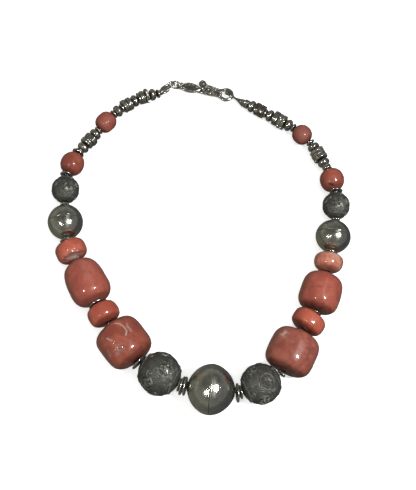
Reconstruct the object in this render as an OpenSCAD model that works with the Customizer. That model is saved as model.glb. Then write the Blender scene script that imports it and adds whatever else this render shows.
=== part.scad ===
// Coral and silver bead necklace, lying closed on a flat surface.
// A centre bead carries two half strands, and a hook and eye joins their ends.
// Every bead sits on the thread at its own heading, and the heavy ones rest on the surface.

/* [Strand] */
// Clear distance kept between two neighbouring beads
bead_gap = 0.15; // [0.1:0.05:0.25]
// Diameter of the thread
thread_d = 0.8; // [0.6:0.1:0.9]
// Hole drilled through the corals and the large silver beads
bead_bore_d = 2.4; // [2.2:0.1:2.8]
// Hole drilled through the small silver spacers
spacer_bore_d = 2; // [1.8:0.1:2.2]
// Heading of the centre bead's hole, in degrees from +X
centre_heading = -7; // [-10:1:5]
// Diameter of the centre bead
centre_d = 23.5; // [22:0.5:25]
// Length of the centre bead along its hole
centre_len = 22.5; // [21:0.5:24]
// Squareness of the centre bead, whose shoulders run straight like a cone's
centre_square = 1.85; // [1.7:0.05:2]

/* [Silver work] */
// Wall of the hollow silver beads
silver_wall = 0.7; // [0.6:0.1:1]
// Radius of the raised wire along a silver bead's seam
seam_wire_r = 0.3; // [0.2:0.05:0.4]
// Round medallions about a filigree bead
medallions = 6; // [5:1:6]
// Radius of a medallion, as a share of its bead's radius
medallion_share = 0.45; // [0.4:0.01:0.46]
// Radius of a medallion's inner ring, as a share of the medallion's
inner_ring_share = 0.45; // [0.4:0.01:0.5]
// Radius of the filigree wire, as a share of its bead's radius
filigree_wire_share = 0.042; // [0.03:0.001:0.045]
// Radius of the grain at a medallion's middle, as a share of its bead's radius
grain_share = 0.08; // [0.06:0.01:0.1]
// Radius of a pierced gap, as a share of its bead's radius
gap_share = 0.062; // [0.04:0.002:0.065]

/* [Clasp] */
// Diameter of the hook's wire
hook_wire_d = 1.2; // [1:0.1:1.3]
// Diameter of the wire of the two eyes and of the left loop
eye_wire_d = 0.9; // [0.7:0.1:0.9]
// Radius of the hook's bend, to the middle of the wire
bend_r = 3.2; // [3:0.1:3.4]
// Radius of the two eyes, to the middle of the wire
eye_r = 2; // [1.9:0.1:2.1]
// Lean of the eyes out of the flat, in degrees
eye_lean = 55; // [52:1:65]
// Half width of the left loop, to the middle of the wire
loop_r = 1.3; // [1.25:0.05:1.5]
// Length of the left loop with its crimp, to the middle of the wire
loop_len = 9.4; // [8.5:0.1:9.8]
// Height of the clasp's middle above the surface
clasp_z = 2.1; // [2.1:0.1:2.4]
// Half width of the hook's leaf
leaf_half_w = 2.9; // [2.2:0.1:3]
// Thickness of the leaf's back plate
leaf_plate = 0.5; // [0.4:0.1:0.7]
// The flat shank between leaf and bend
shank_edges = [
    // way before the bend's middle, lower edge, upper edge
    [15.4, -1.9, 1.2],
    [13.6, -2.1, 1.3],
    [12.6, -2.2, 1.5],
    [11.4, -2.3, 2.2],
    [9.4, -2.5, 2],
    [6, -2.4, 1.4],
    [3.6, -2.3, 1],
    [2.6, -2.2, 0.1]
]; // [way 2.6:15.4, edges -2.6:2.3]
// Radius of the ball on the hook's tip
tip_ball_r = 2; // [1.8:0.1:2]
// Distance of that ball from the hook's axis
tip_ball_out = 3.7; // [3.7:0.1:4.2]

/* [Beads] */
// The right half from the centre bead outwards, with the spacers strung before each bead
right_half = [
    // node, kind, diameter, length, heading, height, squareness, taper, spacers
    ["right_front_filigree", "filigree", 19, 18.5, 24, -1, 2.1, 0, ["washer", "plate"]],
    ["right_front_barrel", "barrel", 23, 20.2, 64, -1, 3.7, 0, ["seed"]],
    ["right_front_rondelle", "rondelle", 16.2, 9.5, 56, 0, 3.1, 0, ["seed"]],
    ["right_side_barrel", "barrel", 19.8, 19, 71, -1, 3.5, -0.03, ["plate"]],
    ["right_side_rondelle", "rondelle", 14.2, 9.5, 78, 0, 2.6, 0.06, ["seed"]],
    ["right_silver_ball", "silver", 17.3, 16.5, 78, -1, 2, 0, ["plate"]],
    ["right_side_filigree", "filigree", 13.6, 14, 86, -1, 2.1, 0, ["seed"]],
    ["right_round_coral", "coral", 12.3, 12, 105, -1, 2.2, 0, ["plate"]],
    ["", "ball", 0, 0, 117, 4.6, 0, 0, ["ring", "ring"]],
    ["", "ball", 0, 0, 120, 4.4, 0, 0, ["gear", "gear", "gear"]],
    ["right_small_coral", "coral", 10.2, 10.2, 135, -1, 2.2, 0, ["ring"]],
    ["", "ball", 0, 0, 148, 4.4, 0, 0, ["ring"]],
    ["", "ball", 0, 0, 149, 3.8, 0, 0, ["gear", "gear", "block"]],
    ["", "ball", 0, 0, 148, 3.4, 0, 0, ["ring", "tile", "tile"]],
    ["right_end_eye", "end", 4.1, 6.1, 146, clasp_z, 2, 0, ["ring", "ring"]]
]; // [diameter 10:24, length 9:24, heading -10:180, squareness 1.8:4]
// The left half from the centre bead outwards, in the same columns
left_half = [
    ["left_front_filigree", "filigree", 20.2, 19.8, 151, -1, 2.1, 0, ["washer", "washer", "plate"]],
    ["left_front_barrel", "barrel", 23.2, 21, 128, -1, 3.6, 0, ["washer"]],
    ["left_front_rondelle", "rondelle", 15.4, 10.2, 121, 0, 3, 0, ["seed"]],
    ["left_side_barrel", "barrel", 19.6, 23, 118, -1, 3, -0.06, ["washer"]],
    ["left_side_rondelle", "rondelle", 15.6, 10.4, 116, 0, 2.9, 0, ["seed"]],
    ["left_silver_ball", "silver", 17.4, 17.8, 96, -1, 2, 0, ["plate"]],
    ["left_side_filigree", "filigree", 13.8, 14.8, 91, -1, 2.1, 0, ["seed"]],
    ["left_round_coral", "coral", 12, 12.2, 68, -1, 2.2, 0, ["plate"]],
    ["", "ball", 0, 0, 53, 4.8, 0, 0, ["plate", "ring"]],
    ["", "ball", 0, 0, 52, 4.6, 0, 0, ["disc", "block"]],
    ["left_small_coral", "coral", 10.3, 10.5, 52, -1, 2.5, 0, ["ring"]],
    ["", "ball", 0, 0, 42, 4.6, 0, 0, ["ring"]],
    ["", "ball", 0, 0, 32, 3.9, 0, 0, ["ring", "disc", "disc"]],
    ["", "ball", 0, 0, 16, 3.4, 0, 0, ["plate", "disc", "gear"]],
    ["left_end_loop", "end", 3, 2, 42, clasp_z, 2, 0, ["ring"]]
]; // [diameter 10:24, length 9:24, heading 10:180, squareness 1.8:4]
// The kinds of bead, with the sizes of the spacers and the radius on which a bead meets its neighbour
kinds = [
    // kind, diameter, length, squareness, meeting radius
    ["centre", 0, 0, 1.9, 2.2],
    ["filigree", 0, 0, 2.1, 2.6],
    ["silver", 0, 0, 2, 1.9],
    ["barrel", 0, 0, 3.2, 4.5],
    ["rondelle", 0, 0, 2.6, 3.5],
    ["coral", 0, 0, 2.2, 2.1],
    ["end", 0, 0, 2, 1.4],
    ["ball", 6.4, 4, 2.2, 1.8],
    ["seed", 4.6, 1.4, 2.5, 1.7],
    ["ring", 4.8, 1.1, 3, 1.9],
    ["plate", 6.6, 0.8, 4, 2.6],
    ["washer", 9, 0.9, 4, 3.4],
    ["disc", 7.2, 2.3, 5, 3],
    ["gear", 7.8, 1.8, 5, 3],
    ["tile", 7, 2.6, 5, 3],
    ["block", 7.6, 2.9, 5, 3]
]; // [diameter 4:9, length 0.8:4, squareness 1.8:5, meeting radius 1.4:5]

/* [Hidden] */
$fn = 48;

// Columns of a half strand
NAME = 0;
KIND = 1;
DIAMETER = 2;
LENGTH = 3;
HEADING = 4;
HEIGHT = 5;
SQUARENESS = 6;
TAPER = 7;
SPACERS = 8;
// Columns of the kinds
KIND_DIAMETER = 1;
KIND_LENGTH = 2;
KIND_SQUARENESS = 3;
MEETING = 4;
// Entries of the height column that aren't heights
RESTS = -1;
HANGS = 0;
// Columns of a place on the surface
PLACE_HEADING = 3;
PITCH = 4;

coral_red = [0.78, 0.27, 0.17];
silver_grey = [0.5, 0.49, 0.44];
filigree_grey = [0.3, 0.3, 0.28];
thread_brown = [0.22, 0.19, 0.16];

// From this squareness a spacer reaches as far as a plain cylinder
cylinder_squareness = 5;
profile_steps = 16;
wire_sides = 6;
hook_r = hook_wire_d / 2;
eye_wire_r = eye_wire_d / 2;
// Play between two wires that hang on each other, and at the bend, round whose wire an eye lies
link_play = 0.25;
bend_play = 0.25;
// Extra room before an end piece, which lies flat where the strand slopes
end_room = 0.35;
// The hook's parts, measured back from the far side of its bend
leaf_end_back = 17.3;
tip_ball_back = 16.9;
// Where the bend's round ends, in degrees from its far side
bend_end = 130;
// Where the arm leaves the bend, and where the bend's wire starts in the shank, from its middle
arm_foot = [-4, 1.95];
shank_foot = [-4.6, -1.6];
// Grains on the shank, with their way before the bend's middle, side and radius
grains = [[11.7, -0.5, 1], [9.4, -0.3, 1], [7.3, -0.6, 0.9], [5.5, -1.1, 0.6], [3.9, -1, 0.6]];
grain_lift = 0.2;
// The hook's parts, measured from its eye
leaf_start = 2.2;
leaf_steps = 14;
leaf_tip_share = 0.03;
// The lower this power, the fuller the leaf's ends
leaf_fullness = 0.6;
// Size of the well between the leaf's rims, as a share of the leaf
leaf_well_share = 0.6;
// How far two joined pieces run into each other, where they touch and where a rod ends in the other
weld = 0.1;
deep_weld = 0.5;
bend_steps = 16;
// Where a filigree bead's gaps start, as a share of its radius, and how many a medallion has
gap_depth = 0.75;
large_bead_gaps = 5;
small_bead_gaps = 4;
large_bead_d = 17;
// The filed notches of a toothed spacer
notches = 10;
notch_d = 0.9;
notch_out = 0.15;
// Width of a tablet across its flats, as a share of its width across the corners
tablet_share = 0.86;
// Radius of the short collars round a filigree bead's holes
pole_collar_r = 2.6;
// The conical cap of the right end, and the blind hole for the thread's end
cone_len = 4.6;
neck_d = 1.2;
tail_bore_d = 1.6;
tail_bore_len = 1.4;
tail_len = 1;

function kind_row(kind) = kinds[search([kind], kinds)[0]];
function mix(a, b, t) = a + (b - a) * t;
function flat(heading) = [cos(heading), sin(heading)];
function unit(v) = v / norm(v);

// One strung item: name, kind, diameter, length, heading, height, squareness, taper
function item(name, kind, heading, d = 0, len = 0, height = HANGS, square = 0, taper = 0) =
    let (k = kind_row(kind))
    [
        name, kind,
        d > 0 ? d : k[KIND_DIAMETER],
        len > 0 ? len : k[KIND_LENGTH],
        heading, height,
        square > 0 ? square : k[KIND_SQUARENESS],
        taper
    ];

// A half strand in stringing order, whose spacers turn evenly from one bead's heading to the next
function strung(rows, start_heading) =
    concat(
        [item("centre_bead", "centre", start_heading, centre_d, centre_len, RESTS, centre_square)],
        [
            for (i = [0 : len(rows) - 1])
                let (
                    row = rows[i],
                    before = i > 0 ? rows[i - 1][HEADING] : start_heading,
                    n = len(row[SPACERS])
                )
                each concat(
                    [
                        for (k = 0; k < n; k = k + 1)
                            item("", row[SPACERS][k], mix(before, row[HEADING], (k + 1) / (n + 1)))
                    ],
                    [
                        item(row[NAME], row[KIND], row[HEADING], row[DIAMETER], row[LENGTH],
                             row[HEIGHT], row[SQUARENESS], row[TAPER])
                    ]
                )
        ]
    );

// Room that two tilted neighbours need along the thread
function gap_between(a, b) =
    bead_gap
    + (b[KIND] == "end" ? end_room : 0)
    + 2 * min(kind_row(a[KIND])[MEETING], kind_row(b[KIND])[MEETING])
        * tan(abs(b[HEADING] - a[HEADING]) / 2);

// How far the ornament stands out of a bead's round body
function proud(it) =
    it[KIND] == "filigree" ? it[DIAMETER] / 2 * grain_share
    : it[KIND] == "centre" || it[KIND] == "silver" ? seam_wire_r / 2
    : 0;

// Distance of each item's middle along the thread
function arcs(items) =
    [
        for (i = 0, s = 0; i < len(items);
             s = i + 1 < len(items)
                 ? s + items[i][LENGTH] / 2 + gap_between(items[i], items[i + 1])
                     + items[i + 1][LENGTH] / 2
                 : s,
             i = i + 1)
            s
    ];

// How far a bead of revolution reaches in a direction at this angle to its axis
function reach(it, along) =
    let (
        m = it[SQUARENESS] < cylinder_squareness ? it[SQUARENESS] / (it[SQUARENESS] - 1) : 1,
        across = sqrt(max(0, 1 - along * along)),
        r = it[DIAMETER] / 2 * (1 + abs(it[TAPER]))
    )
    pow(pow(r * across, m) + pow(it[LENGTH] / 2 * abs(along), m), 1 / m);

// Places of all items: x, y, z, heading, pitch
function places(items) =
    let (
        n = len(items),
        s = arcs(items),
        held = [
            for (i = [0 : n - 1])
                if (items[i][HEIGHT] != HANGS)
                    [
                        s[i],
                        items[i][HEIGHT] == RESTS ? items[i][DIAMETER] / 2 + proud(items[i])
                        : items[i][HEIGHT]
                    ]
        ],
        z = [for (i = [0 : n - 1]) lookup(s[i], held)],
        pitch = [
            for (i = [0 : n - 1])
                i == 0 || items[i][KIND] == "end" ? 0
                : let (j = min(i + 1, n - 1)) atan2(z[j] - z[i - 1], s[j] - s[i - 1])
        ],
        halves = [
            for (i = [0 : n - 1])
                items[i][LENGTH] / 2 * cos(pitch[i]) * flat(items[i][HEADING])
        ],
        xy = [
            for (i = 0, p = [0, 0]; i < n;
                 p = i + 1 < n
                     ? p + halves[i] + halves[i + 1]
                         + gap_between(items[i], items[i + 1])
                             * flat((items[i][HEADING] + items[i + 1][HEADING]) / 2)
                     : p,
                 i = i + 1)
                p
        ]
    )
    [
        for (i = [0 : n - 1])
            [
                xy[i][0], xy[i][1],
                items[i][KIND] == "end" ? z[i]
                : max(z[i], reach(items[i], sin(pitch[i])) + proud(items[i])),
                items[i][HEADING], pitch[i]
            ]
    ];

function spot(place) = [place[0], place[1], place[2]];
function direction(place) =
    let (level = cos(place[PITCH]) * flat(place[PLACE_HEADING]))
    [level[0], level[1], sin(place[PITCH])];

right_items = strung(right_half, centre_heading);
left_items = strung(left_half, centre_heading + 180);
right_places = places(right_items);
left_places = places(left_items);
right_last = len(right_items) - 1;
left_last = len(left_items) - 1;

// The right eye's middle lies past the neck's end
right_eye =
    let (p = right_places[right_last], it = right_items[right_last])
    [p[0], p[1]] + flat(it[HEADING]) * (it[LENGTH] / 2 + eye_r);
// The middle of the left loop's round end
loop_middle =
    let (p = left_places[left_last], it = left_items[left_last])
    [p[0], p[1]] + flat(it[HEADING]) * (loop_len - it[LENGTH] / 2 - loop_r);
// The hook lies between them, its eye hung on the loop and its bend in the right eye
hook_line = right_eye - loop_middle;
hook_heading = atan2(hook_line[1], hook_line[0]);
left_eye = loop_middle + flat(hook_heading) * (loop_r + eye_r - eye_wire_d - link_play);
hook_len = norm(right_eye - left_eye) + eye_r - eye_wire_r - hook_r - bend_play;
leaf_end = hook_len - leaf_end_back;
bend_x = hook_len - bend_r;
tip_x = hook_len - tip_ball_back;

// The whole loop is centred on its own box
function side_reach(items, spots, axis, sign) =
    max([
        for (i = [0 : len(items) - 1])
            sign * spots[i][axis] + reach(items[i], direction(spots[i])[axis])
    ]);
knob_top =
    left_eye[1] + sin(hook_heading) * tip_x
    + cos(hook_heading) * tip_ball_out + tip_ball_r;
low_x = -side_reach(left_items, left_places, 0, -1);
high_x = side_reach(right_items, right_places, 0, 1);
low_y = -side_reach(left_items, left_places, 1, -1);
strand_middle = [(low_x + high_x) / 2, (low_y + knob_top) / 2, 0];

// Outline of a bead of revolution, from its lower pole to its upper one
function outline(r, half_len, square, taper) =
    [
        for (i = [0 : profile_steps])
            let (
                t = 180 * i / profile_steps,
                z = -sign(cos(t)) * pow(abs(cos(t)), 2 / square)
            )
            [r * pow(sin(t), 2 / square) * (1 + taper * z), half_len * z]
    ];

module bead_body(r, half_len, square, taper = 0) {
    rotate_extrude() polygon(outline(r, half_len, square, taper));
}

module bore(d, len) {
    cylinder(d = d, h = len + 2, center = true);
}

module wire_ring(mean_r, r) {
    rotate_extrude() translate([mean_r, 0]) circle(r = r, $fn = 24);
}

// Stands a bead that is modelled along +Z on its place in the strand
module strung_at(place) {
    translate(spot(place)) rotate([0, 90 - place[PITCH], place[PLACE_HEADING]]) children();
}

module coral_bead(it) {
    color(coral_red) difference() {
        bead_body(it[DIAMETER] / 2, it[LENGTH] / 2, it[SQUARENESS], it[TAPER]);
        bore(bead_bore_d, it[LENGTH]);
    }
}

// A hollow ball of two domed halves, with a wire over the seam between them
module silver_bead(it) {
    r = it[DIAMETER] / 2;
    half_len = it[LENGTH] / 2;
    color(silver_grey) difference() {
        union() {
            bead_body(r, half_len, it[SQUARENESS]);
            wire_ring(r - seam_wire_r / 2, seam_wire_r);
        }
        bead_body(r - silver_wall, half_len - silver_wall, it[SQUARENESS]);
        bore(bead_bore_d, it[LENGTH]);
    }
}

// Places its children round one medallion, at an angle to the medallion's own axis
module on_medallion(k, turn, lean) {
    rotate([0, 0, 180 + 360 / medallions * k]) rotate([0, 90, 0])
        rotate([0, 0, turn]) rotate([0, lean, 0]) children();
}

// A hollow pierced ball with wire medallions about its middle and plain caps round its holes
module filigree_bead(it) {
    r = it[DIAMETER] / 2;
    ring_r = r * medallion_share;
    inner_r = ring_r * inner_ring_share;
    gaps = it[DIAMETER] > large_bead_d ? large_bead_gaps : small_bead_gaps;
    gap_lean = asin((ring_r + inner_r) / 2 / r);
    color(filigree_grey) {
        difference() {
            union() {
                intersection() {
                    sphere(r = r);
                    cylinder(r = r + 1, h = it[LENGTH], center = true);
                }
                cylinder(r = pole_collar_r, h = it[LENGTH], center = true);
            }
            sphere(r = r - silver_wall);
            for (k = [0 : medallions - 1], j = [0 : gaps - 1])
                on_medallion(k, 360 / gaps * (j + 0.5), gap_lean)
                    translate([0, 0, r * gap_depth]) cylinder(r = r * gap_share, h = r / 2);
            bore(bead_bore_d, it[LENGTH]);
        }
        for (k = [0 : medallions - 1]) on_medallion(k, 0, 0) {
            for (ring = [ring_r, inner_r])
                translate([0, 0, sqrt(r * r - ring * ring)])
                    wire_ring(ring, r * filigree_wire_share);
            translate([0, 0, r]) sphere(r = r * grain_share);
        }
    }
}

module round_spacer(it) {
    difference() {
        bead_body(it[DIAMETER] / 2, it[LENGTH] / 2, it[SQUARENESS]);
        bore(spacer_bore_d, it[LENGTH]);
    }
}

// A disc with notches filed round its edge
module gear_spacer(it) {
    r = it[DIAMETER] / 2;
    difference() {
        cylinder(r = r, h = it[LENGTH], center = true);
        for (k = [0 : notches - 1])
            rotate([0, 0, 360 / notches * k]) translate([r + notch_out, 0, 0]) bore(notch_d, it[LENGTH]);
        bore(spacer_bore_d, it[LENGTH]);
    }
}

// A square tablet with its corners turned round
module block_spacer(it) {
    across = it[DIAMETER] * tablet_share;
    difference() {
        intersection() {
            cube([across, across, it[LENGTH]], center = true);
            cylinder(d = it[DIAMETER], h = it[LENGTH] + 1, center = true);
        }
        bore(spacer_bore_d, it[LENGTH]);
    }
}

module spacer(it) {
    color(silver_grey)
        if (it[KIND] == "gear") gear_spacer(it);
        else if (it[KIND] == "block" || it[KIND] == "tile") block_spacer(it);
        else round_spacer(it);
}

// The named bead of a half strand
module strung_bead(name, items, spots) {
    i = search([name], items)[0];
    it = items[i];
    strung_at(spots[i])
        if (it[KIND] == "filigree") filigree_bead(it);
        else if (it[KIND] == "silver" || it[KIND] == "centre") silver_bead(it);
        else coral_bead(it);
}

// The loose spacers between two named beads
module spacer_run(items, spots, first, last) {
    from = search([first], items)[0];
    to = search([last], items)[0];
    for (i = [from + 1 : to - 1])
        if (items[i][NAME] == "") strung_at(spots[i]) spacer(items[i]);
}

// A round wire through a list of points that never runs upright
function ring_points(at, ahead, r, sides) =
    let (side = unit(cross(ahead, [0, 0, 1])), up = cross(side, ahead))
    [for (k = [0 : sides - 1]) at + r * (cos(360 / sides * k) * side + sin(360 / sides * k) * up)];

module wire(path, r, sides = wire_sides) {
    n = len(path);
    points = [
        for (i = [0 : n - 1])
            let (ahead = unit(path[min(i + 1, n - 1)] - path[max(i - 1, 0)]))
            each ring_points(path[i], ahead, r, sides)
    ];
    walls = [
        for (i = [0 : n - 2], k = [0 : sides - 1])
            let (a = i * sides + k, b = i * sides + (k + 1) % sides)
            each [[a, b, a + sides], [b, b + sides, a + sides]]
    ];
    ends = [
        [for (k = [sides - 1 : -1 : 0]) k],
        [for (k = [0 : sides - 1]) (n - 1) * sides + k]
    ];
    polyhedron(points, concat(walls, ends));
}

// Where the thread leaves one item for the next
function joint_points(items, spots) =
    [
        for (i = [0 : len(items) - 2])
            let (
                leave = spot(spots[i]) + direction(spots[i]) * items[i][LENGTH] / 2,
                enter = spot(spots[i + 1]) - direction(spots[i + 1]) * items[i + 1][LENGTH] / 2
            )
            (leave + enter) / 2
    ];
function reversed(v) = [for (i = [len(v) - 1 : -1 : 0]) v[i]];

module thread() {
    left = joint_points(left_items, left_places);
    right = joint_points(right_items, right_places);
    color(thread_brown)
        wire(
            concat(
                [left[left_last - 1] + direction(left_places[left_last]) * tail_len],
                reversed(left),
                right,
                [right[right_last - 1] + direction(right_places[right_last]) * tail_len]
            ),
            thread_d / 2
        );
}

module eye_ring() {
    rotate([eye_lean, 0, 0]) wire_ring(eye_r, eye_wire_r);
}

// The blind hole that the thread's end lies in
module tail_bore(len) {
    translate([0, 0, -len / 2 - 1]) cylinder(d = tail_bore_d, h = tail_bore_len + 1);
}

// Cap, neck and eye that close the right half
module right_end_eye() {
    it = right_items[right_last];
    start = -it[LENGTH] / 2;
    color(silver_grey) strung_at(right_places[right_last]) {
        difference() {
            union() {
                translate([0, 0, start]) cylinder(d1 = it[DIAMETER], d2 = neck_d, h = cone_len);
                translate([0, 0, start + cone_len - weld])
                    cylinder(d = neck_d, h = it[LENGTH] - cone_len + weld);
            }
            tail_bore(it[LENGTH]);
        }
        translate([0, 0, it[LENGTH] / 2 + eye_r]) rotate([0, -90, 0]) eye_ring();
    }
}

// Crimp and long loop that close the left half
module left_end_loop() {
    it = left_items[left_last];
    round_z = loop_len - it[LENGTH] / 2 - loop_r;
    leg_z = it[LENGTH] / 2 - deep_weld;
    color(silver_grey) strung_at(left_places[left_last]) {
        difference() {
            cylinder(d = it[DIAMETER], h = it[LENGTH], center = true);
            tail_bore(it[LENGTH]);
        }
        for (side = [-1, 1])
            translate([0, side * loop_r, leg_z]) cylinder(r = eye_wire_r, h = round_z - leg_z);
        translate([0, 0, round_z]) rotate([90, 0, 90])
            rotate_extrude(angle = 180) translate([loop_r, 0]) circle(r = eye_wire_r, $fn = 24);
    }
}

// Half width of the hook's leaf at a share of its length
function leaf_half(t) = leaf_half_w * pow(sin(180 * t), leaf_fullness);
function leaf_x(t) = mix(leaf_start, leaf_end, t);

function leaf_outline(shares, half) =
    concat(
        [for (t = shares) [leaf_x(t), half * leaf_half(t)]],
        [for (t = reversed(shares)) [leaf_x(t), -half * leaf_half(t)]]
    );

// Rim, plate and neck of the hook's leaf
module hook_leaf() {
    shares = [for (i = [0 : leaf_steps]) mix(leaf_tip_share, 1 - leaf_tip_share, i / leaf_steps)];
    difference() {
        translate([0, 0, -hook_r]) linear_extrude(hook_wire_d) polygon(leaf_outline(shares, 1));
        translate([0, 0, leaf_plate - hook_r])
            linear_extrude(hook_wire_d)
                intersection() {
                    polygon(leaf_outline(shares, leaf_well_share));
                    translate([(leaf_start + leaf_end) / 2, 0])
                        square([(leaf_end - leaf_start) * leaf_well_share, hook_len], center = true);
                }
    }
    translate([eye_r - weld, 0, 0]) rotate([0, 90, 0])
        cylinder(d = neck_d, h = leaf_start - eye_r + 2 * deep_weld);
}

// Flat shank between leaf and bend, with grains on it
module hook_shank() {
    translate([bend_x, 0, -hook_r]) linear_extrude(hook_wire_d)
        polygon(concat(
            [for (row = shank_edges) [-row[0], row[1]]],
            [for (row = reversed(shank_edges)) [-row[0], row[2]]]
        ));
    for (grain = grains)
        translate([bend_x - grain[0], grain[1], grain_lift]) sphere(r = grain[2]);
}

// Round bend and return arm, with a ball on the tip
module hook_arm() {
    wire(
        concat(
            [[bend_x + shank_foot[0], shank_foot[1], 0]],
            [
                for (i = [0 : bend_steps])
                    let (a = bend_end * (2 * i / bend_steps - 1))
                    [bend_x + bend_r * cos(a), bend_r * sin(a), 0]
            ],
            [[bend_x + arm_foot[0], arm_foot[1], 0], [tip_x, tip_ball_out, 0]]
        ),
        hook_r
    );
    translate([tip_x, tip_ball_out, 0]) sphere(r = tip_ball_r);
}

module clasp_hook() {
    color(silver_grey)
        translate([left_eye[0], left_eye[1], clasp_z]) rotate([0, 0, hook_heading]) {
            eye_ring();
            hook_leaf();
            hook_shank();
            hook_arm();
        }
}

// Puts the strand's own coordinates, which start at the centre bead, in the middle of the whole
module laid_out() {
    translate(-strand_middle) children();
}

// The named beads between the centre bead and a half strand's end piece
function bead_names(half) = [for (row = half) if (row[NAME] != "" && row[KIND] != "end") row[NAME]];

laid_out() strung_bead("centre_bead", right_items, right_places);  // centre_bead
for (name = bead_names(right_half))
    laid_out() strung_bead(name, right_items, right_places);
for (name = bead_names(left_half))
    laid_out() strung_bead(name, left_items, left_places);
laid_out() right_end_eye();
laid_out() left_end_loop();
laid_out() clasp_hook();
laid_out() thread();
laid_out() spacer_run(right_items, right_places, "centre_bead", "right_round_coral");  // right_front_spacers
laid_out() spacer_run(right_items, right_places, "right_round_coral", "right_small_coral");  // right_lower_spacers
laid_out() spacer_run(right_items, right_places, "right_small_coral", "right_end_eye");  // right_upper_spacers
laid_out() spacer_run(left_items, left_places, "centre_bead", "left_round_coral");  // left_front_spacers
laid_out() spacer_run(left_items, left_places, "left_round_coral", "left_small_coral");  // left_lower_spacers
laid_out() spacer_run(left_items, left_places, "left_small_coral", "left_end_loop");  // left_upper_spacers
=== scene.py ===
"""Dresses the coral and silver necklace that the CAD frame carries.

Every bead is built along +Z in millimetres, carried to its place on the strand and made a mesh in metres.
The strand is laid out by the rule of the CAD source, so each piece lies exactly where its solid does.
"""

import logging
import math
from dataclasses import dataclass, field
from enum import Enum
from typing import Callable, Sequence

import bmesh
import bpy
import numpy as np
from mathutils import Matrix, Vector


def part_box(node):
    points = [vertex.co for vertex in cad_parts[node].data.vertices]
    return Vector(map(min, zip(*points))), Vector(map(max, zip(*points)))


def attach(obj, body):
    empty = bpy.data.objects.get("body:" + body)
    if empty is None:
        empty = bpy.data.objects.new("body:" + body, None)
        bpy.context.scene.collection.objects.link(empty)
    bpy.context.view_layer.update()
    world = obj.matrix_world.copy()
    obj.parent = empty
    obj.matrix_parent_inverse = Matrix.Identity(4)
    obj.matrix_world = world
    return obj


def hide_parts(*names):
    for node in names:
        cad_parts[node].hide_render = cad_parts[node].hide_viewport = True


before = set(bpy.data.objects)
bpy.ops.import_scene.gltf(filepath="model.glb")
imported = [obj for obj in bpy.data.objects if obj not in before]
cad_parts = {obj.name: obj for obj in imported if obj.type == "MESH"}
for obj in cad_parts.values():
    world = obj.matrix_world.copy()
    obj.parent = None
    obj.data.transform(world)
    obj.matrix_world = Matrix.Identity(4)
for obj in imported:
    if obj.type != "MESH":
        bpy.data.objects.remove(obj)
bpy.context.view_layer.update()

log = logging.getLogger("necklace")

MM = 0.001
Colour = tuple[float, float, float]
Point = tuple[float, float, float]
Faces = list[tuple[int, ...]]
Material = bpy.types.Material
Node = bpy.types.Node
Tree = bpy.types.NodeTree
Socket = bpy.types.NodeSocket
Sockets = bpy.types.bpy_prop_collection

RESTS = -1.0
HANGS = 0.0
BEAD_GAP = 0.15
END_ROOM = 0.35
SEAM_WIRE_R = 0.3
GRAIN_SHARE = 0.08
BEAD_BORE_R = 1.2
SPACER_BORE_R = 1.0
CLASP_Z = 2.1
CENTRE_HEADING = -7.0
CYLINDER_SQUARENESS = 5.0
OUTLINE_POINTS = 1501
WAVES = 7
WAVE_GAIN = 1.6
GOLDEN_TURN = math.pi * (3 - math.sqrt(5))


class Kind(Enum):
    """What an item on the thread is."""

    CENTRE = "centre"
    FILIGREE = "filigree"
    SILVER = "silver"
    BARREL = "barrel"
    RONDELLE = "rondelle"
    CORAL = "coral"
    END = "end"
    BALL = "ball"
    SEED = "seed"
    RING = "ring"
    PLATE = "plate"
    WASHER = "washer"
    DISC = "disc"
    GEAR = "gear"
    TILE = "tile"
    BLOCK = "block"


@dataclass(frozen=True)
class KindSize:
    """Usual sizes of a kind, in millimetres: 0 where every bead has its own."""

    diameter: float
    length: float
    squareness: float
    meeting: float


KIND_SIZES: dict[Kind, KindSize] = {
    Kind.CENTRE: KindSize(0, 0, 1.9, 2.2),
    Kind.FILIGREE: KindSize(0, 0, 2.1, 2.6),
    Kind.SILVER: KindSize(0, 0, 2, 1.9),
    Kind.BARREL: KindSize(0, 0, 3.2, 4.5),
    Kind.RONDELLE: KindSize(0, 0, 2.6, 3.5),
    Kind.CORAL: KindSize(0, 0, 2.2, 2.1),
    Kind.END: KindSize(0, 0, 2, 1.4),
    Kind.BALL: KindSize(6.4, 4, 2.2, 1.8),
    Kind.SEED: KindSize(4.6, 1.4, 2.5, 1.7),
    Kind.RING: KindSize(4.8, 1.1, 3, 1.9),
    Kind.PLATE: KindSize(6.6, 0.8, 4, 2.6),
    Kind.WASHER: KindSize(9, 0.9, 4, 3.4),
    Kind.DISC: KindSize(7.2, 2.3, 5, 3),
    Kind.GEAR: KindSize(7.8, 1.8, 5, 3),
    Kind.TILE: KindSize(7, 2.6, 5, 3),
    Kind.BLOCK: KindSize(7.6, 2.9, 5, 3),
}


@dataclass(frozen=True)
class Row:
    """One bead of a half strand and the spacers strung before it. A size of 0 is its kind's own."""

    name: str
    kind: Kind
    spacers: str
    heading: float
    height: float = RESTS
    diameter: float = 0
    length: float = 0
    squareness: float = 0
    taper: float = 0


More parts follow.
